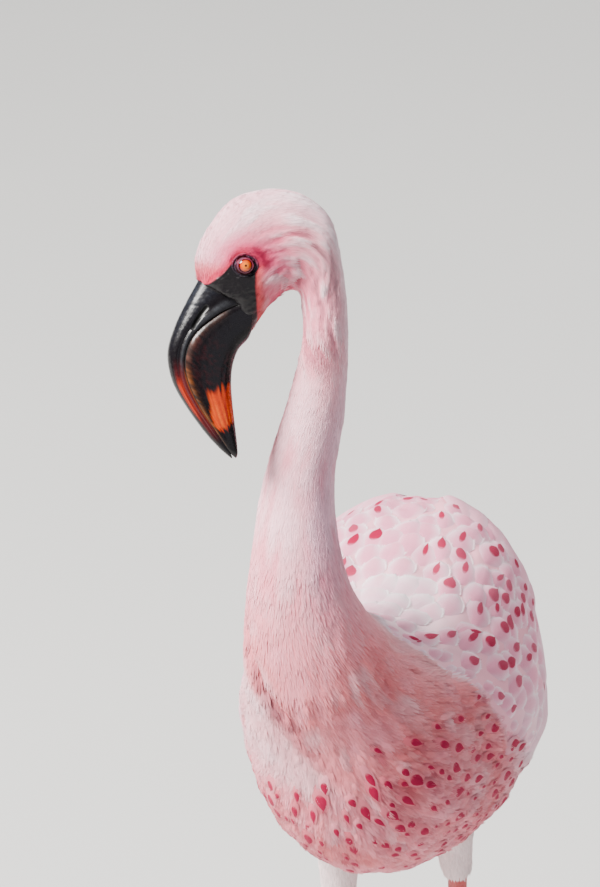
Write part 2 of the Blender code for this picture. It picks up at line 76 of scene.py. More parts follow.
# The line down the neck and through the trunk: (x, y, z) from the trunk's middle, radius, and how far its
# upward direction leans back, in degrees.
BODY_LINE = (
    (-0.0240, -0.1020, 0.2426, 0.0145, 100.0),
    (-0.0278, -0.1050, 0.2170, 0.0169, 98.0),
    (-0.0334, -0.1100, 0.1920, 0.0187, 101.0),
    (-0.0360, -0.1170, 0.1685, 0.0213, 106.0),
    (-0.0350, -0.1260, 0.1455, 0.0250, 110.0),
    (-0.0330, -0.1270, 0.1160, 0.0310, 84.0),
    (-0.0250, -0.1220, 0.0840, 0.0420, 56.0),
    (-0.0150, -0.1060, 0.0560, 0.0560, 31.0),
    (-0.0070, -0.0820, 0.0370, 0.0650, 12.0),
    (-0.0020, -0.0500, 0.0200, 0.0720, 3.0),
    (0.0000, -0.0120, 0.0120, 0.0750, 0.0),
    (0.0000, 0.0280, 0.0100, 0.0740, 0.0),
    (0.0000, 0.0680, 0.0060, 0.0640, 0.0),
    (0.0000, 0.1080, 0.0000, 0.0450, 0.0),
    (0.0000, 0.1500, -0.0060, 0.0280, 0.0),
    (0.0000, 0.2000, -0.0110, 0.0180, 0.0),
)
BODY_HEIGHT = 0.470
TAIL_TIP = 0.2000  # behind the trunk's middle
SPINE_STEPS = 116

# Bill: culmen (x, y), edge of the mouth (x, y), underside (x, y), half widths of the upper and lower halves.
BILL_PROFILE = (
    (-23.9, -8.4, -2.2, -19.8, 2.5, -40.3, 10.4, 10.4),
    (-30.3, -20.0, -14.4, -26.4, -2.0, -45.4, 9.4, 10.4),
    (-36.4, -33.2, -26.2, -36.4, -4.8, -53.6, 8.2, 10.2),
    (-40.1, -47.0, -31.0, -48.0, -5.6, -63.3, 7.2, 9.6),
    (-37.6, -62.0, -30.0, -60.4, -4.9, -73.8, 6.4, 8.7),
    (-29.5, -76.6, -23.4, -75.0, -3.6, -84.8, 5.6, 7.5),
    (-17.6, -92.6, -13.4, -90.4, -2.2, -96.4, 4.6, 6.0),
    (-5.6, -104.8, -4.0, -104.0, -1.6, -104.4, 3.0, 3.4),
)

CAMERA_AZIMUTH = 8.0
CAMERA_HEIGHT = 28.0
CAMERA_DISTANCE = 5.0
CAMERA_LENS = 358.4
CAMERA_SENSOR = 36.0
CAMERA_SHIFT = (-0.1037, 0.2666)


def unit(vectors):
    return vectors / np.maximum(np.linalg.norm(vectors, axis=-1, keepdims=True), 1e-12)


def smooth_rows(rows, places):
    """Rows read between one another, at fractional places, along a Catmull-Rom curve."""
    rows = np.asarray(rows, float)
    ends = np.vstack([2 * rows[0] - rows[1], rows, 2 * rows[-1] - rows[-2]])
    places = np.atleast_1d(np.asarray(places, float))
    first = np.clip(places.astype(int), 0, len(rows) - 2)
    t = (places - first)[:, None]
    a, b, c, d = (ends[first + step] for step in range(4))
    return 0.5 * (2 * b + (c - a) * t + (2 * a - 5 * b + 4 * c - d) * t**2 + (3 * b - a - 3 * c + d) * t**3)


def ramp(values, low, high):
    """0 below low, 1 above high, and smooth between; low may be above high."""
    share = limited((values - low) / (high - low))
    return share * share * (3 - 2 * share)


def band(values, start, full, fading, end):
    """0 before start and after end, 1 from full to fading, and smooth between."""
    return ramp(values, start, full) * ramp(values, end, fading)


def bell(*away):
    """1 where all of away are 0, and falling smoothly on all sides."""
    return np.exp(-sum(part**2 for part in away))


def limited(values):
    return np.clip(values, 0, 1)


def mixed(a, b, share):
    """Colour a where share is 0, colour b where it is 1."""
    a = np.asarray(a, float)
    return a + (np.asarray(b, float) - a) * share[..., None]


def painted(colour, *layers):
    """The colour under layers of (colour, share)."""
    for tone, share in layers:
        colour = mixed(colour, tone, share)
    return colour


def value_noise(points, size, seed=0):
    """Smooth noise from -1 to 1 at points, with features about as large as size."""
    cells = points / size + 57.3 * (seed + 1)
    base = np.floor(cells).astype(np.int64)
    t = cells - base
    t = t * t * (3 - 2 * t)
    total = np.zeros(len(points))
    for corner in range(8):
        step = np.array([(corner >> k) & 1 for k in range(3)])
        weight = np.prod(np.where(step, t, 1 - t), axis=1)
        at = base + step
        # large primes mix the three numbers of a cell's corner into one
        code = (at[:, 0] * 73856093) ^ (at[:, 1] * 19349663) ^ (at[:, 2] * 83492791) ^ (seed * 2654435761)
        code = (code ^ (code >> 13)) * 1274126177
        total += weight * (((code ^ (code >> 16)) & 0xFFFF) / 32767.5 - 1)
    return total


# --- places on the bird -----------------------------------------------------------------------------------


class Places:
    """Where things are, from the boxes of the CAD nodes."""

    def __init__(self):
        eyes = [np.array(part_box(f"eye_{side}")).mean(axis=0) for side in ("left", "right")]
        self.back, self.up, self.left = self.head_axes()
        spot = EYE_SPOT[0] * self.back + EYE_SPOT[1] * self.up
        self.head = (eyes[0] + eyes[1]) / 2 - spot / 1000
        self.eyes = eyes
        wings = [np.array(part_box(f"wing_{side}")) for side in ("left", "right")]
        middle_x = (wings[0][1][0] + wings[1][0][0]) / 2
        self.trunk = np.array((middle_x, np.array(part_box("tail"))[1][1] - TAIL_TIP, BODY_HEIGHT))

    @staticmethod
    def head_axes():
        turn, tilt, lift = (math.radians(angle) for angle in (90 - HEAD_TURN, HEAD_TILT, HEAD_LIFT))
        back = np.array((math.cos(turn), math.sin(turn), 0.0))
        up = np.array((-math.sin(turn) * math.sin(tilt), math.cos(turn) * math.sin(tilt), math.cos(tilt)))
        left = np.cross(back, up)
        return math.cos(lift) * back - math.sin(lift) * up, math.cos(lift) * up + math.sin(lift) * back, left

    def in_head(self, x, y, aside=0.0):
        return self.head + (x * self.back + y * self.up + aside * self.left) / 1000

    def head_coordinates(self, points):
        """Profile x, y and sideways distance, in mm, of points."""
        away = (points - self.head) * 1000
        return away @ self.back, away @ self.up, away @ self.left

    def spine(self):
        """Rows down the middle of head, neck and trunk: place, back's direction, left, and radius."""
        rows = []
        for x_top, y_top, x_under, y_under, half_width in HEAD_PROFILE:
            top, under = self.in_head(x_top, y_top), self.in_head(x_under, y_under)
            rows.append((*(top + under) / 2, *unit(top - under), *self.left, half_width / 1000))
        for x, y, z, radius, lean in BODY_LINE:
            lean = math.radians(lean)
            dorsal = (0.0, math.sin(lean), math.cos(lean))
            rows.append((*(self.trunk + (x, y, z)), *dorsal, 1.0, 0.0, 0.0, radius))
        return smooth_rows(rows, np.linspace(0, len(rows) - 1, SPINE_STEPS))


class Surface:
    """Where each point of the skin is along and round the bird."""

    def __init__(self, points, places):
        spine = places.spine()
        centre, dorsal, left, radius = spine[:, :3], unit(spine[:, 3:6]), unit(spine[:, 6:9]), spine[:, 9]
        run = np.concatenate([[0], np.cumsum(np.linalg.norm(np.diff(centre, axis=0), axis=1))])
        tangent = unit(np.gradient(centre, axis=0))
        near = np.linalg.norm(points[:, None] - centre[None], axis=2) / radius
        weight = np.exp(-3.0 * (near**2 - near.min(axis=1, keepdims=True) ** 2))
        weight /= weight.sum(axis=1, keepdims=True)
        self.along = weight @ run
        self.tangent = unit(weight @ tangent)
        self.middle = weight @ centre
        self.radius = weight @ radius
        away = points - self.middle
        self.angle = np.degrees(np.arctan2(
            (away * (weight @ left)).sum(axis=1), (away * (weight @ dorsal)).sum(axis=1)))
        head_rows, rows = len(HEAD_PROFILE) - 1, len(HEAD_PROFILE) + len(BODY_LINE) - 1
        self.head_end = run[head_rows * (SPINE_STEPS - 1) // rows]
        self.points = points
        self.hx, self.hy, self.ha = places.head_coordinates(points)
        self.body = points - places.trunk

    def streaks(self, across, along, seed):
        """Noise in streaks down the bird: about across wide and along long, in mm."""
        bend = 0.10 * value_noise(self.points, 0.017, seed + 50)
        turned = np.radians(self.angle) + bend
        round_bird = self.radius * 1000 / across
        rows = (np.cos(turned) * round_bird, np.sin(turned) * round_bird, self.along * 1000 / along)
        return value_noise(np.stack(rows, axis=1), 1.0, seed)

    def ridges(self):
        return 0.6 * self.streaks(3.0, 11.0, 11) + 0.4 * self.streaks(1.7, 7.0, 12)


# --- skin -------------------------------------------------------------------------------------------------

VOXEL = 0.0026
PATCH = 0.003  # the size of a tuft's place on the flat map
SWELL = 0.0009  # how far the solids are swollen, so that they join
SKIN_SHARE = 0.48  # the share of the skin's faces that its piece keeps under the coat


def linked(name, mesh, material=None):
    obj = bpy.data.objects.new(name, mesh)
    bpy.context.scene.collection.objects.link(obj)
    if material is not None:
        mesh.materials.append(material)
    return obj


def made_mesh(name, points, faces):
    """A smooth mesh of points and faces."""
    mesh = bpy.data.meshes.new(name)
    mesh.from_pydata([tuple(p) for p in points], [], faces)
    mesh.shade_smooth()
    return mesh


def faces_between(rings, size, first=0):
    """The faces that join rings of size points each, whose points start at first."""
    faces = []
    for ring in range(rings - 1):
        a = first + ring * size
        b = a + size
        faces += [(a + j, a + (j + 1) % size, b + (j + 1) % size, b + j) for j in range(size)]
    return faces


def evaluated_mesh(obj, name):
    """The mesh of obj with its modifiers, as a new mesh; obj is removed."""
    bpy.context.view_layer.update()
    graph = bpy.context.evaluated_depsgraph_get()
    mesh = bpy.data.meshes.new_from_object(obj.evaluated_get(graph), depsgraph=graph)
    mesh.name = name
    bpy.data.objects.remove(obj)
    return mesh


def values_of(items, key, width=1, kind=float):
    """One property of all the items of a mesh, as an array with width columns."""
    found = np.empty(len(items) * width, kind)
    items.foreach_get(key, found)
    return found.reshape(-1, width) if width > 1 else found


def points_of(mesh):
    return values_of(mesh.vertices, "co", 3)


def normals_of(mesh):
    return values_of(mesh.vertices, "normal", 3)


def edges_of(mesh):
    return values_of(mesh.edges, "vertices", 2, np.int64)


def set_points(mesh, points):
    mesh.vertices.foreach_set("co", np.ascontiguousarray(points, float).ravel())
    mesh.update()


def smoothed(values, edges, rounds, share=0.5):
    """Values at vertices, each moved towards the average of its neighbours, several times."""
    values = np.array(values, float)
    flat = values.reshape(len(values), -1)
    count = np.bincount(edges.ravel(), minlength=len(flat)).astype(float)
    share = np.broadcast_to(share, len(flat))[:, None]
    for _ in range(rounds):
        total = np.stack([
            np.bincount(edges[:, 0], flat[edges[:, 1], k], len(flat))
            + np.bincount(edges[:, 1], flat[edges[:, 0], k], len(flat))
            for k in range(flat.shape[1])
        ], axis=1)
        flat = flat + share * (total / np.maximum(count, 1)[:, None] - flat)
    return flat.reshape(values.shape)


def welded(node):
    """The shape of a CAD node, with its doubled points merged."""
    shaped = bmesh.new()
    shaped.from_mesh(node.data)
    bmesh.ops.remove_doubles(shaped, verts=shaped.verts, dist=1e-6)
    return shaped


def joined(chosen, swell, voxel, name):
    """The chosen CAD nodes, swollen until they meet, as one closed mesh of even faces."""
    whole = bmesh.new()
    for node in chosen:
        part = welded(node)
        part.normal_update()
        moves = [v.normal.copy() for v in part.verts]
        for vertex, normal in zip(part.verts, moves):
            vertex.co += normal * swell
        swollen = bpy.data.meshes.new("swollen")
        part.to_mesh(swollen)
        part.free()
        whole.from_mesh(swollen)
        bpy.data.meshes.remove(swollen)
    mesh = bpy.data.meshes.new(name)
    whole.to_mesh(mesh)
    whole.free()
    obj = linked(name, mesh)
    remesh = obj.modifiers.new("Join", "REMESH")
    remesh.mode = "VOXEL"
    remesh.voxel_size = voxel
    return evaluated_mesh(obj, name)


def coat_depth(surface):
    """How far the skin lies under the tips of the feathers."""
    depth = np.full(len(surface.points), 0.0003)
    depth += 0.0002 * ramp(surface.along, 0.09, 0.20)
    on_body = ramp(surface.body[:, 2], 0.17, 0.10)
    depth += 0.0003 * on_body
    depth += 0.0020 * on_body * back_share(surface)
    legs = ramp(surface.body[:, 2], -0.085, -0.10)
    depth = depth * (1 - legs) + 0.0011 * legs
    bill_root = ramp(surface.hx, 2, -4) * ramp(surface.hy, -2, -8)
    bare = bare_skin(surface)
    return depth * (1 - bare) - 0.0003 * bare * bill_root


def inside_back(surface):
    """How many degrees each point lies within the lower edge of the feathers of back and wings."""
    limit = np.interp(surface.body[:, 1], (-0.116, -0.100, -0.086, -0.063, -0.030),
                      (10.0, 50.0, 78.0, 104.0, 120.0))
    return limit - np.abs(surface.angle)


def back_share(surface):
    """1 where the large feathers of back and wings lie, 0 on the neck, the breast and the belly."""
    return ramp(inside_back(surface), -10, 8) * ramp(surface.body[:, 2], 0.092, 0.080)


def bare_skin(surface):
    """1 where the skin has no feathers."""
    return bare_face(surface.hx, surface.hy) * ramp(np.abs(surface.ha), 2.0, 6.0) * ramp(surface.hx, 14, 10)


def folds_of_coat(surface):
    """How far the coat rises, in metres: fine ridges on the head's sides and nape, a crease by the wing."""
    head = ramp(surface.along, 0.200, 0.110)
    sides = ramp(np.abs(surface.angle), 22, 60) * ramp(surface.hx, -4, 14)
    rise = 0.00095 * surface.ridges() * head * (0.15 + 0.85 * sides)
    neck = (1 - head) * ramp(surface.body[:, 2], 0.10, 0.14)
    rise += neck * 0.00030 * surface.streaks(4.0, 22.0, 13)
    low = ramp(surface.body[:, 2], 0.14, 0.09)
    rise += low * 0.0009 * surface.streaks(9.0, 20.0, 14)
    return rise - 0.0050 * crease(surface.body)


CREASE = ((-0.062, -0.146, 0.104), (-0.049, -0.160, 0.074), (-0.036, -0.163, 0.058), (-0.023, -0.161, 0.040),
          (-0.004, -0.158, 0.017))


def crease(body):
    """1 in the crease that runs down between the breast and the right wing."""
    found = np.zeros(len(body))
    line = smooth_rows(CREASE, np.linspace(0, len(CREASE) - 1, 41))
    for number, place in enumerate(line):
        share = number / (len(line) - 1)
        place = body[((body - place) ** 2).sum(axis=1).argmin()]
        away = ((body - place) ** 2).sum(axis=1)
        strength = min(1.0, 4 * share + 0.4) * min(1.0, 2.2 * (1 - share))
        found = np.maximum(found, strength * np.exp(-away / (0.0028 + 0.0022 * share) ** 2))
    return found


def refined(mesh, chosen, cuts):
    """The mesh with the faces that chosen picks cut finer."""
    shaped = bmesh.new()
    shaped.from_mesh(mesh)
    for _ in range(cuts):
        points = np.array([v.co for v in shaped.verts])
        mask = chosen(points)
        shaped.verts.index_update()
        edges = [e for e in shaped.edges if mask[e.verts[0].index] and mask[e.verts[1].index]]
        bmesh.ops.subdivide_edges(shaped, edges=edges, cuts=1, use_grid_fill=True)
    bmesh.ops.triangulate(shaped, faces=[f for f in shaped.faces if len(f.verts) > 4])
    shaped.to_mesh(mesh)
    shaped.free()


def build_skin(nodes, places):
    mesh = joined([nodes[name] for name in FLESH], SWELL, VOXEL, "flesh")
    points, edges = points_of(mesh), edges_of(mesh)
    hx, hy, _ = places.head_coordinates(points)
    at_head = (np.hypot(hx - 10, hy) < 62) & (hy > -42)
    share = np.where(at_head, 0.30, 0.5)
    set_points(mesh, smoothed(points, edges, 12, share))
    normals = normals_of(mesh)
    lost = smoothed(((points - points_of(mesh)) * normals).sum(axis=1), edges, 12)
    set_points(mesh, points_of(mesh) + normals * lost[:, None])

    def head(found):
        x, y, _ = places.head_coordinates(found)
        return np.hypot(x - 14, y + 4) < 60

    def front(found):
        body = found - places.trunk
        return (body[:, 2] < 0.15) & (body[:, 2] > -0.12) & (body[:, 1] < 0.09)

    refined(mesh, front, 1)
    refined(mesh, head, 2)
    points, edges = points_of(mesh), edges_of(mesh)
    fine = head(points)
    set_points(mesh, smoothed(points, edges, 5, np.where(fine, 0.5, 0.25)))
    surface = Surface(points_of(mesh), places)
    depth = smoothed(coat_depth(surface) + SWELL - folds_of_coat(surface), edges, 3)
    set_points(mesh, points_of(mesh) - normals_of(mesh) * depth[:, None])
    shape_face(mesh, places)
    cover_bill_root(mesh, places)
    draw_in_tail(mesh, places)
    mesh.shade_smooth()
    return mesh


def thinned(mesh, places):
    """A copy of the skin with fewer faces, which keeps the head's."""
    obj = linked("thinned", mesh.copy())
    x, y, _ = places.head_coordinates(points_of(mesh))
    group = obj.vertex_groups.new(name="body")
    group.add(np.flatnonzero(np.hypot(x - 8, y + 2) > 30).tolist(), 1.0, "REPLACE")
    thin = obj.modifiers.new("Thin", "DECIMATE")
    thin.ratio = SKIN_SHARE
    thin.vertex_group = group.name
    return evaluated_mesh(obj, "skin_shown")


def draw_in_tail(mesh, places):
    """Makes the end of the tail's flesh shorter and thinner, as the tail feathers reach beyond it."""
    points = points_of(mesh)
    x, y, z = (points - places.trunk).T
    late = ramp(y, 0.135, 0.195)
    middle = np.interp(y, (0.10, 0.15, 0.20), (-0.002, -0.007, -0.011))
    shorter = np.where(y > 0.150, 0.150 + 0.70 * (y - 0.150), y)
    moved = np.stack([x * (1 - 0.35 * late), shorter, middle + (z - middle) * (1 - 0.45 * late)], axis=1)
    set_points(mesh, moved + places.trunk)


def cover_bill_root(mesh, places):
    """Draws the skin of the face out over the root of the bill, as a thin lip."""
    points = points_of(mesh)
    hx, hy, ha = places.head_coordinates(points)
    culmen, under = np.array(BILL_PROFILE[0][:2]), np.array(BILL_PROFILE[0][4:6])
    way = unit(under - culmen)
    inward = (hx - culmen[0]) * -way[1] + (hy - culmen[1]) * way[0]
    down = (hx - culmen[0]) * way[0] + (hy - culmen[1]) * way[1]
    share = band(inward, -3.0, -1.0, 3.0, 9.0) * ramp(np.abs(ha), 2.0, 5.0)
    share = share * band(down, -1.0, 2.0, 38.0, 42.5)
    for upper in (True, False):
        rings, _, _, _, size = bill_rings(places, upper)
        count = len(rings) // size
        tree = BVHTree.FromPolygons([tuple(p) for p in rings], faces_between(count // 5 + 1, size))
        for number in np.flatnonzero(share > 0.01):
            sign = 1.0 if ha[number] > 0 else -1.0
            outside = Vector(places.in_head(hx[number], hy[number], sign * 30))
            hit = tree.ray_cast(outside, Vector(-sign * places.left))[0]
            if hit is None:
                continue
            reach = (np.array(hit) - points[number]) @ (sign * places.left) + 0.00022
            if 0 < reach < 0.006:
                points[number] += sign * places.left * reach * share[number]
    set_points(mesh, points)


def shape_face(mesh, places):
    """Sets the relief of the bare face: a brow, a hollow before the eye, and fine folds."""
    points, normals = points_of(mesh), normals_of(mesh)
    hx, hy, ha = places.head_coordinates(points)
    side = ramp(np.abs(ha), 5.0, 10.0)
    bare = bare_face(hx, hy) * side
    eye = np.hypot(hx - EYE_SPOT[0], hy - EYE_SPOT[1])
    lore = bell((hx + 8) / 6, (hy + 9) / 6) * side
    brow = bell((eye - 8.5) / 2.2) * ramp(hy, -1, 4) * side
    folds = value_noise(np.stack([hx * 0.45 + hy * 0.2, hy - hx * 0.5, ha * 0.3], axis=1), 1.1, 3)
    rise = -0.0011 * lore + 0.0005 * brow + 0.00030 * folds * bare
    set_points(mesh, points + normals * rise[:, None])


def bare_face(hx, hy):
    """1 on the bare dark skin of the face, 0 on feathers, from the profile's coordinates."""
    front = ramp(hy, face_top(hx) + 0.7, face_top(hx) - 0.7)
    rear = ramp(hx, face_rear(hy), face_rear(hy) - 1.4)
    ring = ramp(np.hypot((hx - EYE_SPOT[0]) / 1.12, hy - EYE_SPOT[1]), 6.7, 5.9)
    return np.maximum(front * rear, ring) * ramp(hy, -52, -46)


def face_top(hx):
    """The height at which the bare face ends, for each hx."""
    return np.interp(hx, (-30.0, -23.9, -19.0, -11.5, -7.6, -5.0, 0.8, 5.4, 7.4),
                     (-7.0, -9.6, -8.6, -2.5, 2.5, 6.0, 7.6, 6.6, 3.0))


def face_rear(hy):
    """How far back the bare face reaches, for each hy."""
    return 6.6 - 0.13 * (hy + 10) * (hy < -10)


# --- colours ----------------------------------------------------------------------------------------------

WHITE_PINK = (0.900, 0.530, 0.610)
PALE_PINK = (0.880, 0.320, 0.390)
# lilac for the painted shade on the neck's left side
SHADE_LILAC = (0.600, 0.320, 0.500)
ROSE = (0.640, 0.060, 0.150)
SALMON = (0.640, 0.090, 0.082)
CRIMSON = (0.340, 0.000, 0.042)
SNOW = (0.950, 0.820, 0.870)
CORAL = (0.620, 0.055, 0.055)
# painted shade for the furrows between the ridges of the head's coat
FURROW_SHADE = (0.240, 0.030, 0.050)
FACE_BLACK = (0.007, 0.006, 0.007)
LID_GREY = (0.026, 0.010, 0.022)


def coat_colour(surface):
    """The colour of skin and feathers at each point of the skin."""
    points, hx, hy = surface.points, surface.hx, surface.hy
    along, angle, body = surface.along, surface.angle, surface.body
    broad = value_noise(points, 0.030, 1)
    fine = value_noise(points, 0.007, 2)
    ridges = surface.ridges()

    # Head: white-pink over the crown, rosier on the sides, streaked under the arch and down the nape, with
    # painted highlight on the crests of the coat's ridges and painted shade in their furrows.
    at_head = ramp(along, 0.200, 0.110)
    side = np.abs(angle)
    streaked = ramp(along, 0.160, 0.085) * ramp(side, 30, 80) * ramp(hx, 2, 18)
    eye = np.hypot((hx - EYE_SPOT[0] - 1.5) / 1.25, hy - EYE_SPOT[1] - 1.0)
    round_eye = bell(np.maximum(eye - 6.0, 0) / 3.8) * ramp(hy, -5.0, 3.0)
    blush = bell(np.maximum(eye - 8.0, 0) / 10.0) * ramp(hy, -12.0, 2.0)
    cheek_edge = bell(np.maximum(hx - face_rear(hy), 0) / 3.4) * band(hy, -46, -40, -4, 4)
    above = np.maximum(hy - face_top(hx), 0)
    glow = bell(above / 10.0) * band(hx, -32, -20, -2, 6) * at_head
    colour = painted(
        PALE_PINK,
        (WHITE_PINK, ramp(side, 78, 25) * at_head * 0.80),
        (ROSE, ramp(side, 80, 130) * ramp(along, 0.125, 0.080) * 0.42),
        (ROSE, limited(bell((hx - 36) / 17, (hy + 18) / 17) * ramp(along, 0.02, 0.05)) * 0.55),
        # Furrows of the coat's ridges: rose that is partly the feathers' own streaks and partly painted
        # shade, then a darker painted shade; their crests get snow white as painted highlight.
        (ROSE, limited(-2.6 * ridges) * streaked * 0.90),
        (FURROW_SHADE, limited(-3.0 * ridges - 0.35) * streaked * ramp(hx, 10, 34) * 0.70),
        (SNOW, limited(2.2 * ridges - 0.1) * ramp(along, 0.180, 0.100) * 0.60),
        ((0.60, 0.020, 0.130), blush * (0.70 + 0.30 * ridges)),
        (CRIMSON, limited(round_eye * 1.35) * 0.96),
        (CORAL, limited(cheek_edge) * at_head * 0.85),
        ((0.680, 0.085, 0.190), glow * (0.50 + 0.30 * ridges)),
        ((0.50, 0.010, 0.055), bell(above / 3.0) * band(hx, -27, -18, -2, 4) * at_head),
    )

    # Neck: even pale pink, with lilac painted on its left side as shade; the crests of its coat's ridges are
    # paler, as painted highlight, and their furrows rosier, as painted shade.
    neck = ramp(along, 0.085, 0.180) * ramp(body[:, 2], 0.10, 0.15)
    wisps = surface.streaks(4.0, 22.0, 13)
    colour = painted(
        colour,
        (WHITE_PINK, neck * limited(0.55 + 0.7 * broad + 0.7 * wisps) * 0.8),
        (SHADE_LILAC, neck * ramp(points[:, 0] - surface.middle[:, 0], 0.002, 0.016) * 0.35),
        (ROSE, neck * limited(-1.6 * wisps - 0.35) * 0.25),
    )

    # Breast and belly: rosy and mottled; back and wings: pale lilac and white.
    low, share = ramp(body[:, 2], 0.165, 0.070), back_share(surface)
    breast = low * (1 - share)
    mottle = surface.streaks(8.0, 12.0, 15)
    strength = limited(0.50 + 0.30 * broad + 0.35 * mottle + 0.18 * fine)
    hollow = bell((body[:, 0] - 0.004) / 0.034, (body[:, 1] + 0.056) / 0.040)
    line = np.array(CREASE)[::-1]
    outside = np.interp(body[:, 2], line[:, 2], line[:, 0]) - body[:, 0]
    flank = ramp(outside, 0.002, 0.012) * band(body[:, 2], 0.000, 0.020, 0.100, 0.125)
    flank = flank * ramp(body[:, 1], -0.05, -0.08) * (0.65 + 0.3 * mottle)
    brink = limited(4.2 * share * (1 - share)) * ramp(body[:, 2], 0.030, 0.060)
    colour = painted(
        colour,
        (SALMON, breast * strength * 0.80),
        (WHITE_PINK, breast * limited(1.5 * mottle - 0.25) * 0.55),
        ((0.860, 0.480, 0.590), low * share * 0.85),
        # the hollow at the root of the neck: pale feathers painted snow white as a pool of light
        (SNOW, limited(1.6 * hollow * ramp(body[:, 2], 0.03, 0.06)) * 0.95),
        (SNOW, low * ramp(body[:, 1], -0.07, 0.00) * ramp(np.abs(side - 108), 28, 8) * 0.75),
        (WHITE_PINK, ramp(body[:, 1], 0.06, 0.12) * ramp(side, 100, 140) * 0.8),
        ((0.900, 0.560, 0.620), flank),
        ((0.900, 0.760, 0.860), brink * (0.75 + 0.3 * fine)),
        ((0.930, 0.770, 0.770), ramp(body[:, 2], -0.090, -0.105) * 0.9),
        # the crease between the breast and the right wing: painted shade over the greyish bases of the parted
        # feathers
        ((0.30, 0.105, 0.130), crease(body) * limited(0.75 + 0.35 * fine)),
        (CRIMSON, breast_marks(surface)),
    )
    colour *= 1 + 0.04 * broad[:, None] + 0.03 * fine[:, None]
    return limited(mixed(colour, FACE_BLACK, bare_skin(surface)))


MARK_TRIES = 9000  # points of the skin that are tried, in a random order


def marked_places(surface):
    """The points of the skin low on the breast and along the flanks where a feather has a crimson mark."""
    chance = np.random.default_rng(SEED + 1)
    body = surface.body
    right = 0.032 * ramp(body[:, 0], 0.000, -0.030) * ramp(body[:, 1], -0.02, -0.06)
    low = ramp(body[:, 2] + right, 0.050, 0.000) * ramp(body[:, 2], -0.085, -0.070)
    low = low * (1 - back_share(surface))
    low = low * np.clip(0.85 + 0.9 * value_noise(surface.points, 0.018, 31), 0.12, 1)
    here = low * ramp(body[:, 1], 0.075, 0.045) * (0.35 + 0.65 * ramp(np.abs(body[:, 0]), 0.010, 0.035))
    here = here * (1 - crease(body))
    order = chance.permutation(len(body))[:MARK_TRIES]
    chosen = []
    for number in order:
        if here[number] * 1.05 < chance.random():
            continue
        place = surface.points[number]
        apart = 0.0072 + 0.0046 * chance.random() ** 2
        if all(np.linalg.norm(place - surface.points[other]) > apart for other in chosen):
            chosen.append(number)
    return chosen


def breast_marks(surface):
    """Soft crimson spots under the marked feathers, from 0 to 1."""
    chance = np.random.default_rng(SEED + 2)
    marks = np.zeros(len(surface.points))
    across = np.cross(surface.tangent, unit(surface.points - surface.middle))
    for number in marked_places(surface):
        away = surface.points - surface.points[number]
        near = np.flatnonzero((np.abs(away) < 0.009).all(axis=1))
        size = 0.0024 + 0.0013 * chance.random()
        stretch = (away[near] @ surface.tangent[number]) / (1.35 * size)
        wide = (away[near] @ across[number]) / size
        spot = ramp(np.hypot(stretch, wide) + 0.15 * value_noise(surface.points[near], 0.002, 9), 1.25, 0.55)
        marks[near] = np.maximum(marks[near], spot * (0.25 + 0.25 * chance.random()))
    return marks


def put_colour(mesh, name, colour):
    attribute = mesh.color_attributes.new(name, "FLOAT_COLOR", "POINT")
    rgba = np.ones((len(mesh.vertices), 4))
    rgba[:, :3] = colour
    attribute.data.foreach_set("color", rgba.ravel())


def put_value(mesh, name, values):
    attribute = mesh.attributes.new(name, "FLOAT", "POINT")
    attribute.data.foreach_set("value", np.ascontiguousarray(values, float))


def put_vector(mesh, name, values):
    attribute = mesh.attributes.new(name, "FLOAT_VECTOR", "POINT")
    attribute.data.foreach_set("vector", np.ascontiguousarray(values, float).ravel())


# --- materials --------------------------------------------------------------------------------------------


class Tree:
    """A short way to write the nodes of a tree."""

    def __init__(self, tree):
        self.tree = tree

    def feed(self, value, socket):
        """Gives a socket a link or a value."""
        if hasattr(value, "links"):
            self.tree.links.new(value, socket)
        else:
            socket.default_value = value

    def add(self, kind, **values):
        """A node; in_Name and in_0 stand for its inputs, and the other values for its properties."""
        node = self.tree.nodes.new(kind)
        for key, value in values.items():
            if key.startswith("in_"):
                socket = key[3:]
                self.feed(value, node.inputs[int(socket) if socket.isdigit() else socket.replace("_", " ")])
            else:
                setattr(node, key, value)
        return node

    def math(self, operation, a, b=0.0):
        return self.add("ShaderNodeMath", operation=operation, in_0=a, in_1=b).outputs[0]

    def product(self, first, *others):
        for other in others:
            first = self.math("MULTIPLY", first, other)
        return first

    def vector(self, *parts):
        values = {f"in_{number}": part for number, part in enumerate(parts)}
        return self.add("ShaderNodeCombineXYZ", **values).outputs[0]

    def parts(self, vector):
        return self.add("ShaderNodeSeparateXYZ", in_0=vector).outputs


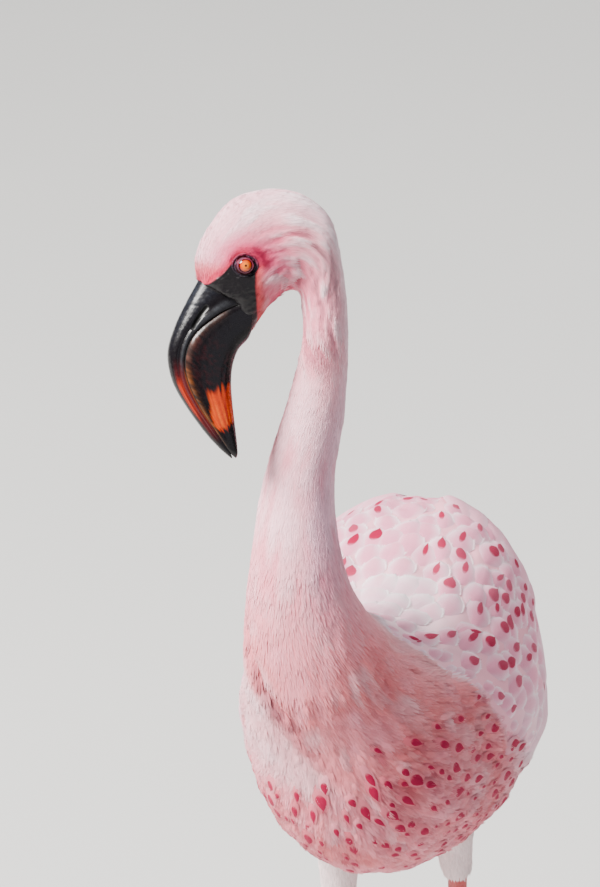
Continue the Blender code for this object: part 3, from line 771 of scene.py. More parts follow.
class Nodes(Tree):
    """The nodes of a material."""

    def __init__(self, name):
        self.material = bpy.data.materials.new(name)
        self.material.use_nodes = True
        super().__init__(self.material.node_tree)
        self.shader = self.tree.nodes["Principled BSDF"]

    def link(self, output, socket):
        self.tree.links.new(output, self.shader.inputs[socket])

    def set(self, **values):
        for key, value in values.items():
            self.shader.inputs[key.replace("_", " ")].default_value = value

    def toned(self, colour, shade, low, high):
        """The colour, darker or lighter by the feather's own shade."""
        tone = self.remap(shade, 0.0, 1.0, low, high)
        grey = self.add("ShaderNodeCombineColor", in_0=tone, in_1=tone, in_2=tone).outputs[0]
        return self.mix(1.0, colour, grey, "MULTIPLY")

    def attribute(self, name, output="Fac"):
        return self.add("ShaderNodeAttribute", attribute_name=name).outputs[output]

    def mix(self, share, a, b, blend="MIX"):
        node = self.add("ShaderNodeMix", data_type="RGBA", blend_type=blend)
        for number, value in ((0, share), (6, a), (7, b)):
            self.feed((*value, 1.0) if isinstance(value, tuple) else value, node.inputs[number])
        return node.outputs[2]

    def object_coordinates(self):
        return self.add("ShaderNodeTexCoord").outputs["Object"]

    def noise(self, scale, detail=3.0, vector=None):
        node = self.add("ShaderNodeTexNoise", in_Scale=scale, in_Detail=detail,
                        in_Vector=vector or self.object_coordinates())
        return node.outputs["Fac"]

    def remap(self, value, low, high, to_low=0.0, to_high=1.0):
        node = self.add("ShaderNodeMapRange", in_0=value, in_1=low, in_2=high, in_3=to_low, in_4=to_high)
        return node.outputs[0]

    def bump(self, height, distance, strength=1.0):
        node = self.add("ShaderNodeBump", in_Height=height, in_Distance=distance, in_Strength=strength)
        self.link(node.outputs[0], "Normal")


def skin_material():
    nodes = Nodes("skin")
    tint = nodes.attribute("tint", "Color")
    grain = nodes.noise(1400.0, 4.0)
    bare = nodes.attribute("bare")
    rosy = nodes.mix(0.45, tint, (0.90, 0.55, 0.60), "MULTIPLY")
    speckled = nodes.mix(nodes.remap(grain, 0.50, 0.75, 0.0, 0.04), tint, (0.08, 0.06, 0.07))
    colour = nodes.mix(bare, rosy, speckled)
    nodes.link(colour, "Base Color")
    nodes.link(nodes.remap(bare, 0.0, 1.0, 0.85, 0.33), "Roughness")
    nodes.set(Specular_IOR_Level=0.26)
    wrinkles = nodes.add("ShaderNodeTexVoronoi", in_Scale=900.0, in_Vector=nodes.object_coordinates(),
                         feature="SMOOTH_F1")
    height = nodes.product(nodes.math("ADD", wrinkles.outputs["Distance"], grain), bare)
    nodes.bump(height, 0.00022, 0.6)
    return nodes.material


def coat_material(name, tip_white, root_shade):
    """Feather vanes: the skin's colour, a root darkened as painted shade, a paler tip, and fine barbs."""
    nodes = Nodes(name)
    tint = nodes.attribute("tint", "Color")
    vane = nodes.attribute("vane", "Vector")
    along = nodes.parts(vane)[1]
    # the root, under the tufts before it, is darkened as painted shade
    dark = nodes.mix(nodes.remap(along, 0.15, 0.75, root_shade, 0.0), tint, (0.62, 0.30, 0.36), "MULTIPLY")
    light = nodes.mix(0.5, tint, (1.0, 0.97, 0.98))
    green = nodes.add("ShaderNodeSeparateColor", in_0=tint).outputs[1]
    whiten = nodes.product(nodes.remap(along, 0.50, 1.0, 0.0, tip_white), nodes.remap(green, 0.05, 0.50))
    pale = nodes.mix(whiten, dark, light)
    nodes.link(nodes.toned(pale, nodes.attribute("shade"), 0.90, 1.05), "Base Color")
    nodes.set(Roughness=0.72, Sheen_Weight=0.03, Sheen_Roughness=0.5, Specular_IOR_Level=0.15)
    barbs = nodes.add("ShaderNodeTexWave", in_Scale=6.0, in_Distortion=1.5, in_Detail=2.0, in_Vector=vane)
    nodes.bump(barbs.outputs["Fac"], 0.00008, 0.6)
    return nodes.material


# --- the coat by geometry nodes ---------------------------------------------------------------------------


def template(name, vertices, faces):
    """A small vane to be repeated: +Y from root to tip, +X across, +Z out of the coat."""
    mesh = made_mesh(name, vertices, faces)
    points = np.array(vertices, float)
    put_vector(mesh, "vane", np.stack([points[:, 0] + 0.5, points[:, 1], points[:, 2] * 0], axis=1))
    return linked(name, mesh)


def hair_template(name):
    """The narrowest tuft, for head and neck: a low ridge that runs out to a point."""
    vertices = [(-0.42, 0.0, 0.0), (0.42, 0.0, 0.0), (-0.5, 0.55, 0.0), (0.0, 0.50, 0.055), (0.5, 0.55, 0.0),
                (0.06, 1.0, 0.0)]
    return template(name, vertices, [(0, 1, 3), (0, 3, 2), (1, 4, 3), (2, 3, 5), (3, 4, 5)])


def wisp_template(name, strands, spread, seed):
    """A tuft of narrow strands that part towards their tips."""
    chance = np.random.default_rng(seed)
    vertices, faces = [], []
    for share in np.linspace(-1, 1, strands):
        reach = 1.0 - 0.22 * share**2 - 0.16 * chance.random()
        side = share * spread
        lift = 0.03 + 0.05 * chance.random()
        start = len(vertices)
        for y, x, z, half in (
            (0.0, side * 0.30, 0.0, 0.085),
            (0.5 * reach, side * 0.80, lift, 0.085),
            (reach, side * 1.15 + 0.06 * (chance.random() - 0.5), lift * 0.3, 0.0),
        ):
            if half:
                vertices += [(x - half, y, z), (x + half, y, z + 0.02)]
            else:
                vertices.append((x, y, z))
        faces += [(start, start + 1, start + 3, start + 2), (start + 2, start + 3, start + 4)]
    return template(name, vertices, faces)


def coat_group():
    """Scatters vanes over a skin, along its attribute lie, and joins them into one mesh."""
    group = bpy.data.node_groups.new("Coat", "GeometryNodeTree")
    for name, kind in (("Skin", "Geometry"), ("Vane", "Object"), ("Spacing", "Float"), ("Density", "Float"),
                       ("Lift", "Float"), ("Scatter", "Float"), ("Patch", "Float"), ("Seed", "Int"),
                       ("Material", "Material")):
        group.interface.new_socket(name, in_out="INPUT", socket_type="NodeSocket" + kind)
    group.interface.new_socket("Coat", in_out="OUTPUT", socket_type="NodeSocketGeometry")
    tree = Tree(group)
    given = tree.add("NodeGroupInput").outputs

    def named(name, kind):
        return tree.add("GeometryNodeInputNamedAttribute", data_type=kind, in_Name=name).outputs["Attribute"]

    def random(low, high, offset):
        seed = tree.math("ADD", given["Seed"], offset)
        node = tree.add("FunctionNodeRandomValue", data_type="FLOAT", in_2=low, in_3=high, in_Seed=seed)
        return node.outputs[1]

    def stored(geometry, name, kind, domain, value):
        return tree.add("GeometryNodeStoreNamedAttribute", data_type=kind, domain=domain, in_Name=name,
                        in_Geometry=geometry, in_Value=value).outputs[0]

    scatter = tree.add(
        "GeometryNodeDistributePointsOnFaces", distribute_method="POISSON", in_Mesh=given["Skin"],
        in_Distance_Min=given["Spacing"], in_Density_Max=given["Density"],
        in_Density_Factor=named("amount", "FLOAT"), in_Seed=given["Seed"]).outputs

    # +Y of a vane lies along the coat and +Z out of it; then each one is lifted and turned a little.
    way = "FunctionNodeAlignRotationToVector"
    along = tree.add(way, axis="Y", in_Vector=named("lie", "FLOAT_VECTOR"))
    out = tree.add(way, axis="Z", pivot_axis="Y", in_Rotation=along.outputs[0], in_Vector=scatter["Normal"])
    angles = [tree.product(given[key], random(low, high, offset)) for key, low, high, offset in
              (("Lift", 0.4, 1.6, 1), ("Scatter", -1.0, 1.0, 2), ("Scatter", -1.0, 1.0, 3))]
    turn = tree.add("FunctionNodeEulerToRotation", in_0=tree.vector(*angles))
    turned = tree.add("FunctionNodeRotateRotation", rotation_space="LOCAL", in_Rotation=out.outputs[0],
                      in_Rotate_By=turn.outputs[0])
    length = tree.product(named("length", "FLOAT"), random(0.75, 1.25, 4))
    width = tree.product(named("width", "FLOAT"), random(0.8, 1.2, 5))
    vane = tree.add("GeometryNodeObjectInfo", in_Object=given["Vane"])
    place = tree.add(
        "GeometryNodeInstanceOnPoints", in_Points=scatter["Points"], in_Instance=vane.outputs["Geometry"],
        in_Rotation=turned.outputs[0], in_Scale=tree.vector(width, length, tree.product(length, 0.6)))
    shaded = stored(place.outputs[0], "shade", "FLOAT", "INSTANCE", random(0.0, 1.0, 6))
    real = tree.add("GeometryNodeRealizeInstances", in_0=shaded)
    patch = tree.add("ShaderNodeVectorMath", operation="MULTIPLY_ADD", in_0=named("vane", "FLOAT_VECTOR"),
                     in_1=tree.vector(given["Patch"], given["Patch"]), in_2=named("unwrap", "FLOAT_VECTOR"))
    mapped = stored(real.outputs[0], "OFBake", "FLOAT2", "CORNER", patch.outputs[0])
    paint = tree.add("GeometryNodeSetMaterial", in_Geometry=mapped, in_Material=given["Material"])
    tree.add("NodeGroupOutput", in_0=paint.outputs[0])
    return group


def unwrap_corners(mesh, surface, low, high):
    """A place on a flat map for each corner: round the bird, and along it from low to high."""
    loops = values_of(mesh.loops, "vertex_index", kind=np.int64)
    totals = values_of(mesh.polygons, "loop_total", kind=np.int64)
    face = np.repeat(np.arange(len(totals)), totals)
    around = (surface.angle[loops] / 360) % 1.0
    widest = np.zeros(len(totals))
    np.maximum.at(widest, face, around)
    around = np.where(widest[face] - around > 0.5, around + 1, around)
    along = limited((surface.along[loops] - low) / (high - low))
    flat = np.stack([0.02 + 0.90 * around / 1.06, 0.01 + 0.98 * along, np.zeros(len(loops))], axis=1)
    attribute = mesh.attributes.new("unwrap", "FLOAT_VECTOR", "CORNER")
    attribute.data.foreach_set("vector", flat.ravel())


class Coat:
    """Makes pieces of coat from the skin."""

    def __init__(self, skin, surface, lie, colour):
        self.skin, self.surface, self.lie, self.colour = skin, surface, lie, colour
        self.group = coat_group()

    def piece(self, name, vane, material, seed, amount, length, width, spacing, lift, scatter):
        mesh = self.skin.copy()
        mesh.name = name
        mesh.materials.clear()
        for attribute in ("tint", "bare"):
            mesh.attributes.remove(mesh.attributes[attribute])
        put_colour(mesh, "tint", self.colour)
        for key, values in (("amount", amount), ("length", length), ("width", width)):
            put_value(mesh, key, np.broadcast_to(values, len(mesh.vertices)))
        put_vector(mesh, "lie", self.lie)
        chosen = amount > 0.05
        along = self.surface.along[chosen]
        unwrap_corners(mesh, self.surface, along.min(), along.max())
        obj = linked(name + "_roots", mesh)
        modifier = obj.modifiers.new("Coat", "NODES")
        modifier.node_group = self.group
        sockets = {item.name: item.identifier for item in self.group.interface.items_tree
                   if item.in_out == "INPUT"}
        for key, value in (
            ("Vane", vane), ("Spacing", spacing), ("Density", 2.2 / spacing**2), ("Lift", lift),
            ("Scatter", scatter), ("Patch", PATCH), ("Seed", seed), ("Material", material),
        ):
            modifier[sockets[key]] = value
        made = evaluated_mesh(obj, name)
        made.materials.clear()
        piece = linked(name, made, material)
        for attribute in ("unwrap", "lie", "amount", "length", "width"):
            if attribute in made.attributes:
                made.attributes.remove(made.attributes[attribute])
        return piece


def lie_of_coat(skin, surface):
    """The direction in which the feathers point, at each point of the skin."""
    normals, edges = normals_of(skin), edges_of(skin)
    lie = surface.tangent.copy()
    thigh = ramp(surface.body[:, 2], -0.075, -0.100)[:, None]
    lie = lie * (1 - thigh) + np.array((0.0, 0.10, -1.0)) * thigh
    flank = ramp(surface.body[:, 2], 0.06, -0.02) * ramp(surface.body[:, 1], -0.10, 0.02)
    lie += np.array((0.0, 0.25, -0.10)) * flank[:, None]
    lie -= (lie * normals).sum(axis=1, keepdims=True) * normals
    lie = smoothed(unit(lie), edges, 12)
    lie -= (lie * normals).sum(axis=1, keepdims=True) * normals
    return unit(lie)


# --- large feathers, laid one by one ----------------------------------------------------------------------

FEATHER_ROWS, FEATHER_COLUMNS = 13, 7
FEATHER_SIZE = FEATHER_ROWS * FEATHER_COLUMNS
ALONG_VANE = np.sin(np.linspace(0, math.pi / 2, FEATHER_ROWS)) ** 1.15
ACROSS_VANE = np.linspace(-1, 1, FEATHER_COLUMNS)
WHITE_FRINGE = 0.70  # how white the edges of the large feathers are
FEATHER_PATCH = 0.012  # the size of a large feather's place on the flat map
BARB_SPACING, BARB_HALF_WIDTH, BARB_ROOT = 0.00042, 0.00020, 0.0006
PLAIN = 2.0  # the shade of a feather that has its tint and mark only


class Plumage:
    """Large feathers laid over the skin, gathered into one mesh."""

    def __init__(self, skin, surface, lie, colour, places):
        points = points_of(skin)
        skin.calc_loop_triangles()
        self.triangles = values_of(skin.loop_triangles, "vertices", 3, np.int64)
        self.tree = BVHTree.FromPolygons([tuple(p) for p in points], self.triangles.tolist())
        self.points, self.normals, self.lie, self.colour = points, normals_of(skin), lie, colour
        self.surface, self.places = surface, places
        self.chance = np.random.default_rng(SEED)

    def clear(self):
        self.grids, self.barbs = [], []
        self.tints, self.marks, self.shades, self.roots = [], [], [], []

    def on_skin(self, y, angle, height=0.012):
        """The place and skin vertex where a line out of the trunk's middle leaves it."""
        start = self.places.trunk + np.array((0.0, y, height))
        turned = math.radians(angle)
        way = Vector((math.sin(turned), 0.0, math.cos(turned)))
        hit, _, face, _ = self.tree.ray_cast(Vector(start), way)
        if hit is None:
            return None
        return np.array(hit), int(self.triangles[face][0])

    def lay(self, root, vertex, length, width, lift=0.0030, base=-0.0006, mark=0.0, tint=None,
            roundness=0.5, way=None, camber=0.0013, tilt=0.0, stiff=0.0, soft=True):
        """Lays one feather on the skin from its root."""
        normal = self.normals[vertex]
        along = self.lie[vertex] if way is None else way
        along = unit(along - (along @ normal) * normal)
        across = np.cross(along, normal)
        turn = 0.13 * self.chance.standard_normal()
        along, across = (math.cos(turn) * along + math.sin(turn) * across,
                         math.cos(turn) * across - math.sin(turn) * along)
        u, v = ACROSS_VANE, ALONG_VANE
        swell = limited(v / 0.45) ** 0.7 * 0.72 + 0.28
        tip = np.sqrt(limited(1 - limited((v - roundness) / (1 - roundness)) ** 1.9))
        half = 0.5 * width * swell * np.maximum(tip, 0.02)
        notch = self.chance.standard_normal((FEATHER_ROWS, FEATHER_COLUMNS)) * np.abs(u) ** 3
        x = half[:, None] * (u + 0.012 * notch)
        v = v[:, None]
        y = (v - 0.035 * np.abs(u) * v**3) * length
        y = y + 0.004 * length * self.chance.standard_normal(y.shape) * v**6
        shaft = 0.22 * bell(u / 0.12)
        bow = np.sin(math.pi * limited(0.12 + 0.80 * v)) ** 0.7
        curl = -0.55 * lift * ramp(v, 0.70, 1.0)
        level = -0.0008 + (base + 0.0008) * ramp(v, 0.0, 0.36)
        rise = level + tilt * u + lift * v**0.9 + curl + camber * (1 - np.abs(u) ** 2.4 + shaft) * bow
        flat = root + x[..., None] * across + y[..., None] * along
        places = []
        free = stiff * ramp(np.repeat(v, FEATHER_COLUMNS), 0.15, 0.50)  # how little it follows the skin
        for place, height, share in zip(flat.reshape(-1, 3), rise.ravel(), free):
            near, facing, _, _ = self.tree.find_nearest(Vector(place))
            held = np.array(near) + np.array(facing) * height
            places.append(held + (place + normal * height - held) * share)
        self.grids.append(np.array(places))
        self.fringe(self.grids[-1].reshape(FEATHER_ROWS, FEATHER_COLUMNS, 3), normal, length, width)
        self.tints.append(self.colour[vertex] if tint is None else tint)
        self.marks.append(mark)
        self.shades.append(self.chance.random() if soft else PLAIN)
        self.roots.append(vertex)

    def fringe(self, grid, normal, length, width):
        """Loose barbs that stand out of the edge of one feather, as thin triangles."""
        middle, half = FEATHER_COLUMNS // 2, FEATHER_ROWS // 2
        down = unit(grid[-1, middle] - grid[half, middle])
        across = unit(grid[half, -1] - grid[half, 0])
        outline = np.concatenate([grid[half - 2:, 0], grid[half - 2:, -1][::-1]])
        steps = np.concatenate([[0], np.cumsum(np.linalg.norm(np.diff(outline, axis=0), axis=1))])
        at = np.arange(0.0003, steps[-1] - 0.0003, BARB_SPACING)
        at = at + 0.00012 * self.chance.standard_normal(len(at))
        roots = np.stack([np.interp(at, steps, outline[:, k]) for k in range(3)], axis=1)
        aside = np.clip((roots - grid[-1, middle]) @ across / (0.5 * width), -1, 1)[:, None]
        way = down + across * (0.50 * aside + 0.10 * self.chance.standard_normal(aside.shape)) + 0.14 * normal
        way = unit(way)
        sides = unit(np.cross(way, normal)) * BARB_HALF_WIDTH
        reach = min(length, 0.030) * (0.045 + 0.055 * self.chance.random(aside.shape))
        roots = roots - way * BARB_ROOT + normal * 0.00005
        corners = np.stack([roots - sides, roots + sides, roots + way * (reach + BARB_ROOT)], axis=1)
        places = np.column_stack([0.5 + 0.5 * aside, np.full(len(at), 0.95)])
        self.barbs.append((corners, places))

    def dressed(self, mesh, feather, vanes, flat, material):
        """A piece of the mesh, given its feather and the place on it for each point."""
        put_vector(mesh, "vane", np.column_stack([vanes, np.zeros(len(vanes))]))
        put_colour(mesh, "tint", np.array(self.tints)[feather])
        put_value(mesh, "mark", np.array(self.marks)[feather])
        put_value(mesh, "shade", np.array(self.shades)[feather])
        mesh.uv_layers.new(name="OFBake").data.foreach_set("uv", flat.ravel())
        return linked(mesh.name, mesh, material)

    def flat_places(self, roots):
        """Each root's place on an unwrap of the skin's own shape."""
        along = self.surface.along[roots]
        return np.stack([0.02 + 0.94 * (self.surface.angle[roots] / 360 % 1.0),
                         0.01 + 0.96 * (along - along.min()) / max(np.ptp(along), 1e-6)], axis=1)

    def fringe_piece(self, name, material):
        """Joins the loose barbs of the feathers laid so far into one mesh."""
        corners = np.concatenate([barb for barb, _ in self.barbs]).reshape(-1, 3)
        vanes = np.repeat(np.concatenate([place for _, place in self.barbs]), 3, axis=0)
        feather = np.repeat(np.arange(len(self.barbs)), [len(barb) for barb, _ in self.barbs])
        flat = self.flat_places(np.array(self.roots)[feather])
        corner = np.tile(np.array([(0.1, 0.0), (0.9, 0.0), (0.5, 1.0)]), (len(feather), 1))
        flat = np.repeat(flat, 3, axis=0) + corner * PATCH
        mesh = made_mesh(name, corners, np.arange(len(corners)).reshape(-1, 3).tolist())
        return self.dressed(mesh, np.repeat(feather, 3), vanes, flat, material)

    def piece(self, name, material):
        """Joins the feathers laid so far into one mesh."""
        number = len(self.grids)
        corner = np.arange(FEATHER_SIZE).reshape(FEATHER_ROWS, FEATHER_COLUMNS)
        quads = np.stack([corner[:-1, :-1], corner[:-1, 1:], corner[1:, 1:], corner[1:, :-1]], axis=-1)
        faces = (quads.reshape(1, -1, 4) + (np.arange(number) * FEATHER_SIZE)[:, None, None]).reshape(-1, 4)
        vane = np.stack(np.meshgrid(ACROSS_VANE * 0.5 + 0.5, ALONG_VANE), axis=-1).reshape(-1, 2)
        vanes = np.tile(vane, (number, 1))
        flat = np.repeat(self.flat_places(np.array(self.roots)), FEATHER_SIZE, axis=0) + vanes * FEATHER_PATCH
        mesh = made_mesh(name, np.concatenate(self.grids), faces.tolist())
        feather = np.repeat(np.arange(number), FEATHER_SIZE)
        return self.dressed(mesh, feather, vanes, flat[faces.ravel()], material)


def feather_material(name):
    """Large feathers: a pale vane with a whiter fringe, fine barbs, and a crimson mark on some."""
    nodes = Nodes(name)
    tint = nodes.attribute("tint", "Color")
    sideways, along, _ = nodes.parts(nodes.attribute("vane", "Vector"))
    across = nodes.math("ABSOLUTE", nodes.math("SUBTRACT", nodes.product(sideways, 2.0), 1.0))
    shade, mark = nodes.attribute("shade"), nodes.attribute("mark")
    slant = nodes.math("ADD", nodes.product(across, -9.0), nodes.product(along, 34.0))
    barbs = nodes.math("SINE", nodes.product(slant, 13.0))
    frayed = nodes.noise(1.6, 2.0, nodes.vector(nodes.product(slant, 1.6), across, shade))
    wobble = nodes.product(nodes.math("SUBTRACT", frayed, 0.5), 0.34)

    outer = nodes.math("MAXIMUM", nodes.remap(across, 0.35, 1.0), nodes.remap(along, 0.78, 1.0))
    plain = nodes.remap(shade, 1.2, 1.8)
    coloured = nodes.math("SUBTRACT", 1.0, plain)
    outer = nodes.product(outer, WHITE_FRINGE, coloured)
    colour = nodes.mix(outer, tint, (0.97, 0.90, 0.93))
    # the base of each feather, under the one before it, is rosier and darker: partly its own colour and
    # partly painted shade
    base = nodes.product(nodes.remap(along, 0.45, 0.90, 0.62, 0.0), coloured)
    colour = nodes.mix(base, colour, (0.82, 0.42, 0.55), "MULTIPLY")
    colour = nodes.toned(colour, shade, 0.93, 1.03)
    hint = nodes.product(nodes.remap(frayed, 0.35, 0.70, 0.0, 0.16), coloured)
    colour = nodes.mix(hint, colour, (0.86, 0.56, 0.68))

    blush = nodes.product(nodes.remap(across, 0.85, 0.1), nodes.remap(along, 0.25, 0.70),
                          nodes.remap(along, 1.0, 0.86), nodes.remap(shade, 0.30, 0.95), 0.50, coloured)
    colour = nodes.mix(blush, colour, (0.84, 0.25, 0.37))

    place = nodes.remap(along, 0.42, 0.99)
    rising = nodes.math("POWER", place, 0.80)
    falling = nodes.math("POWER", nodes.math("SUBTRACT", 1.0, place), 0.95)
    varied = nodes.remap(shade, 0.0, 1.0, 0.85, 1.90)
    broad = nodes.math("MAXIMUM", varied, nodes.remap(mark, 1.0, 2.0, 0.0, 2.70))
    width = nodes.product(rising, falling, broad)
    inside = nodes.math("ADD", nodes.math("SUBTRACT", width, across), nodes.product(wobble, 0.35))
    start = nodes.remap(nodes.math("ADD", place, wobble), -0.05, 0.18)
    faded = nodes.product(nodes.remap(inside, -0.02, 0.06), start, nodes.math("MINIMUM", mark, 1.0))
    colour = nodes.mix(faded, colour, CRIMSON)
    nodes.link(colour, "Base Color")
    nodes.set(Roughness=0.62, Sheen_Weight=0.01, Sheen_Roughness=0.45, Specular_IOR_Level=0.12)
    nodes.bump(nodes.math("ADD", barbs, nodes.product(frayed, 3.0)), 0.00007, 0.45)
    return nodes.material


def lay_back(plumage):
    """Mantle, shoulder and wing feathers of both sides: small by the neck and larger behind."""
    chance, surface = plumage.chance, plumage.surface
    body, side = surface.body, np.abs(surface.angle)
    last = np.interp(side, (30, 45, 62, 90, 122), (0.148, 0.105, 0.082, 0.058, 0.022))
    here = np.flatnonzero((back_share(surface) > 0.25) & (body[:, 1] < last))
    inside = np.minimum(inside_back(surface) * 1.1, (body[:, 1] + 0.104) * 900)
    spacing = 0.0056 + 0.0062 * ramp(inside, 0, 34)
    chance.shuffle(here)
    taken = np.empty((0, 3))
    chosen = []
    for number in here:
        place = plumage.points[number]
        if len(taken):
            apart = taken - place
            along = apart @ plumage.lie[number]
            if ((apart**2).sum(axis=1) * 1.30 - along**2 * 0.72).min() < spacing[number] ** 2:
                continue
        taken = np.vstack([taken, place])
        chosen.append(number)
    # Feathers in the hollow at the root of the neck are made snow white, as painted light over their own pale
    # colour, and get no marks.
    white = 1.0 - np.hypot((body[:, 0] - 0.003) / 0.040, (body[:, 1] + 0.052) / 0.042)
    pale_edge = ramp(side, 84, 108) * ramp(body[:, 1], -0.09, -0.04)
    odds = 0.80 * ramp(side, 5, 20) * ramp(inside, 3, 16) * (1 - 0.85 * ramp(side, 76, 98))
    odds *= ramp(white, 0.35, 0.05)
    middle = [number for number in chosen if side[number] < 7]
    for number in chosen + middle:
        size = spacing[number]
        tint = np.array((0.850, 0.400, 0.540)) * (0.96 + 0.07 * chance.random())
        share = max(min(1.0, 1.7 * max(white[number], 0)), 0.75 * pale_edge[number])
        tint = tint + (np.array(SNOW) - tint) * share
        mark = 0.80 + 0.20 * chance.random() if chance.random() < odds[number] else 0.0
        near_edge = ramp(inside[number], 14, 2)
        tint = tint + (plumage.colour[number] - tint) * near_edge
        size *= 0.92 + 0.18 * chance.random()
        plumage.lay(plumage.points[number], number, size * (2.50 + 0.3 * chance.random()),
                    size * (1.28 + 0.15 * chance.random()), mark=mark, tint=tuple(tint),
                    lift=(0.140 - 0.05 * near_edge) * size, camber=0.070 * size,
                    roundness=0.24 + 0.14 * chance.random())


def lay_marked(plumage):
    """The crimson-tipped feathers of the lower breast and the flanks, which lie over the down."""
    chance, surface = plumage.chance, plumage.surface
    for number in marked_places(surface):
        size = 0.0105 + 0.0135 * chance.random() ** 1.6
        place = plumage.points[number] - plumage.lie[number] * size * 0.7
        plumage.lay(place, number, size, size * (0.28 + 0.18 * chance.random()), lift=0.0009, base=0.0004,
                    mark=2.0, camber=0.0004, roundness=0.25, soft=False)


def lay_long_feathers(plumage):
    """The long feathers of the folded wings and the tail, whose roots lie under the shorter ones."""
    chance = plumage.chance

    def row(y, angle, length, width, rise, tint, way, height=0.012, **others):
        found = plumage.on_skin(y, angle, height)
        if found is None:
            return
        tint = np.array(tint) * (0.97 + 0.05 * chance.random())
        plumage.lay(*found, length, width, lift=0.0010, base=rise, tint=tuple(tint), way=np.array(way),
                    camber=0.0006, **others)

    for number, y in enumerate((0.066, 0.080, 0.094, 0.107, 0.119, 0.130)):
        height = 0.012 - 0.018 * (y - 0.066) / 0.064
        for step in range(17):
            angle = 62 + (236 / 16) * (step + 0.5 * (number % 2))
            side = min(angle, 360 - angle)
            if (side > 126 and number < 2) or (93 < side < 126 and number < 5):
                continue
            row(y, angle, 0.040, 0.021, 0.0004, (0.930, 0.740, 0.790), (0.0, 1.0, 0.0),
                height=height, roundness=0.40)
    for sign in (-1, 1):
        for number in range(4):
            row(0.070 + 0.004 * number, sign * (115 - 4 * number), 0.094 - 0.010 * number, 0.0105,
                0.0006 + 0.0002 * number, (0.016, 0.013, 0.015), (-0.08 * sign, 1.0, 0.05), soft=False,
                roundness=0.48)
        for number in range(12):
            share = number / 11
            row(-0.034 + 0.080 * share, sign * (117 - 26 * share), 0.096 + 0.008 * share, 0.018,
                0.0003 + 0.00005 * number, (0.930, 0.760 - 0.08 * share, 0.810 - 0.05 * share),
                (-0.06 * sign, 1.0, 0.04 * share), roundness=0.50, tilt=0.0006 * sign)
        for number in range(8):
            row(0.036 + 0.006 * number, sign * (88 - 8 * number), 0.112 - 0.003 * number, 0.021,
                0.0008 + 0.00006 * number, (0.900, 0.580, 0.670), (-0.10 * sign, 1.0, -0.06), roundness=0.46,
                tilt=0.0006 * sign)
    for below, count in ((True, 11), (False, 15)):
        for number in range(count):
            share = 2 * number / (count - 1) - 1
            angle = 180 - 64 * share if below else 72 * share
            found = plumage.on_skin(0.136 if below else 0.141, angle, height=-0.006)
            if found is None:
                continue
            middle = 1 - abs(share)
            plumage.lay(*found, 0.068 - 0.009 * share**2, 0.0165, lift=0.0006, base=0.0002 + 0.0010 * middle,
                        tint=(0.930, 0.700, 0.760), roundness=0.42, camber=0.0006, stiff=0.7,
                        way=np.array((-0.10 * share, 1.0, 0.16 if below else -0.12)))


# --- eyes -------------------------------------------------------------------------------------------------

EYE_RADIUS = 0.0058
EYE_RINGS, EYE_SEGMENTS = 40, 48
LID_INNER, LID_OUTER = 0.0035, 0.0067
LID_RINGS, LID_SEGMENTS = 26, 120
LID_RIM_PINK, LID_BLOTCH = (0.26, 0.016, 0.050), (0.22, 0.008, 0.035)


def disc_axes(places, sign):
    return places.back, places.up, sign * places.left


def add_eye(places, side, sign):
    """An eyeball of fine rings round its axis, with each point's distance from the axis in mm."""
    centre, (e1, e2, axis) = places.eyes[0 if side == "left" else 1], disc_axes(places, sign)
    polar = np.linspace(0.0, math.pi * 0.62, EYE_RINGS)
    turned = np.arange(EYE_SEGMENTS) * 2 * math.pi / EYE_SEGMENTS
    circle = np.outer(np.cos(turned), e1) + np.outer(np.sin(turned), e2)
    points = [centre + EYE_RADIUS * axis * 0.995]
    values = [0.0]
    for angle in polar[1:]:
        bulge = EYE_RADIUS * (1 + 0.02 * math.exp(-((angle / 0.5) ** 2)))
        points += list(centre + bulge * (math.cos(angle) * axis + math.sin(angle) * circle))
        values += [math.sin(angle) * EYE_RADIUS * 1000 if angle < 1.5 else 9.0] * EYE_SEGMENTS
    faces = [(0, 1 + (j + 1) % EYE_SEGMENTS, 1 + j) for j in range(EYE_SEGMENTS)]
    faces += faces_between(EYE_RINGS - 1, EYE_SEGMENTS, 1)
    faces.append(tuple(1 + (EYE_RINGS - 2) * EYE_SEGMENTS + j for j in range(EYE_SEGMENTS)))
    if sign < 0:
        faces = [face[::-1] for face in faces]
    mesh = made_mesh(f"eyeball_{side}", points, faces)
    put_value(mesh, "reach", values)
    away = np.array(points) - centre
    put_vector(mesh, "spoke", np.stack([away @ e1, away @ e2, away @ axis], axis=1) * 1000)
    return linked(f"eyeball_{side}", mesh)


def eye_material():
    nodes = Nodes("eye")
    reach = nodes.attribute("reach")
    rightwards, upwards, _ = nodes.parts(nodes.attribute("spoke", "Vector"))
    turn = nodes.math("ARCTAN2", upwards, rightwards)
    streak = nodes.noise(2.0, 3.0, nodes.vector(nodes.product(turn, 6.0), nodes.product(reach, 0.5)))
    colour = nodes.mix(nodes.remap(streak, 0.35, 0.7), (0.54, 0.050, 0.000), (0.66, 0.115, 0.000))
    # mm from the middle of the eye, and how much of each tone there: iris, its rims, and the pupil
    for low, high, at_low, at_high, tone in (
        (0.9, 2.2, 0.75, 0.0, (0.76, 0.210, 0.000)),
        (0.55, 1.0, 0.7, 0.0, (0.30, 0.020, 0.000)),
        (2.3, 3.1, 0.0, 1.0, (0.30, 0.010, 0.000)),
        (3.0, 3.35, 0.0, 1.0, (0.020, 0.001, 0.002)),
        (0.48, 0.62, 1.0, 0.0, (0.001, 0.001, 0.001)),
    ):
        colour = nodes.mix(nodes.remap(reach, low, high, at_low, at_high), colour, tone)
    nodes.link(colour, "Base Color")
    nodes.set(Roughness=0.06, Specular_IOR_Level=0.5)
    return nodes.material


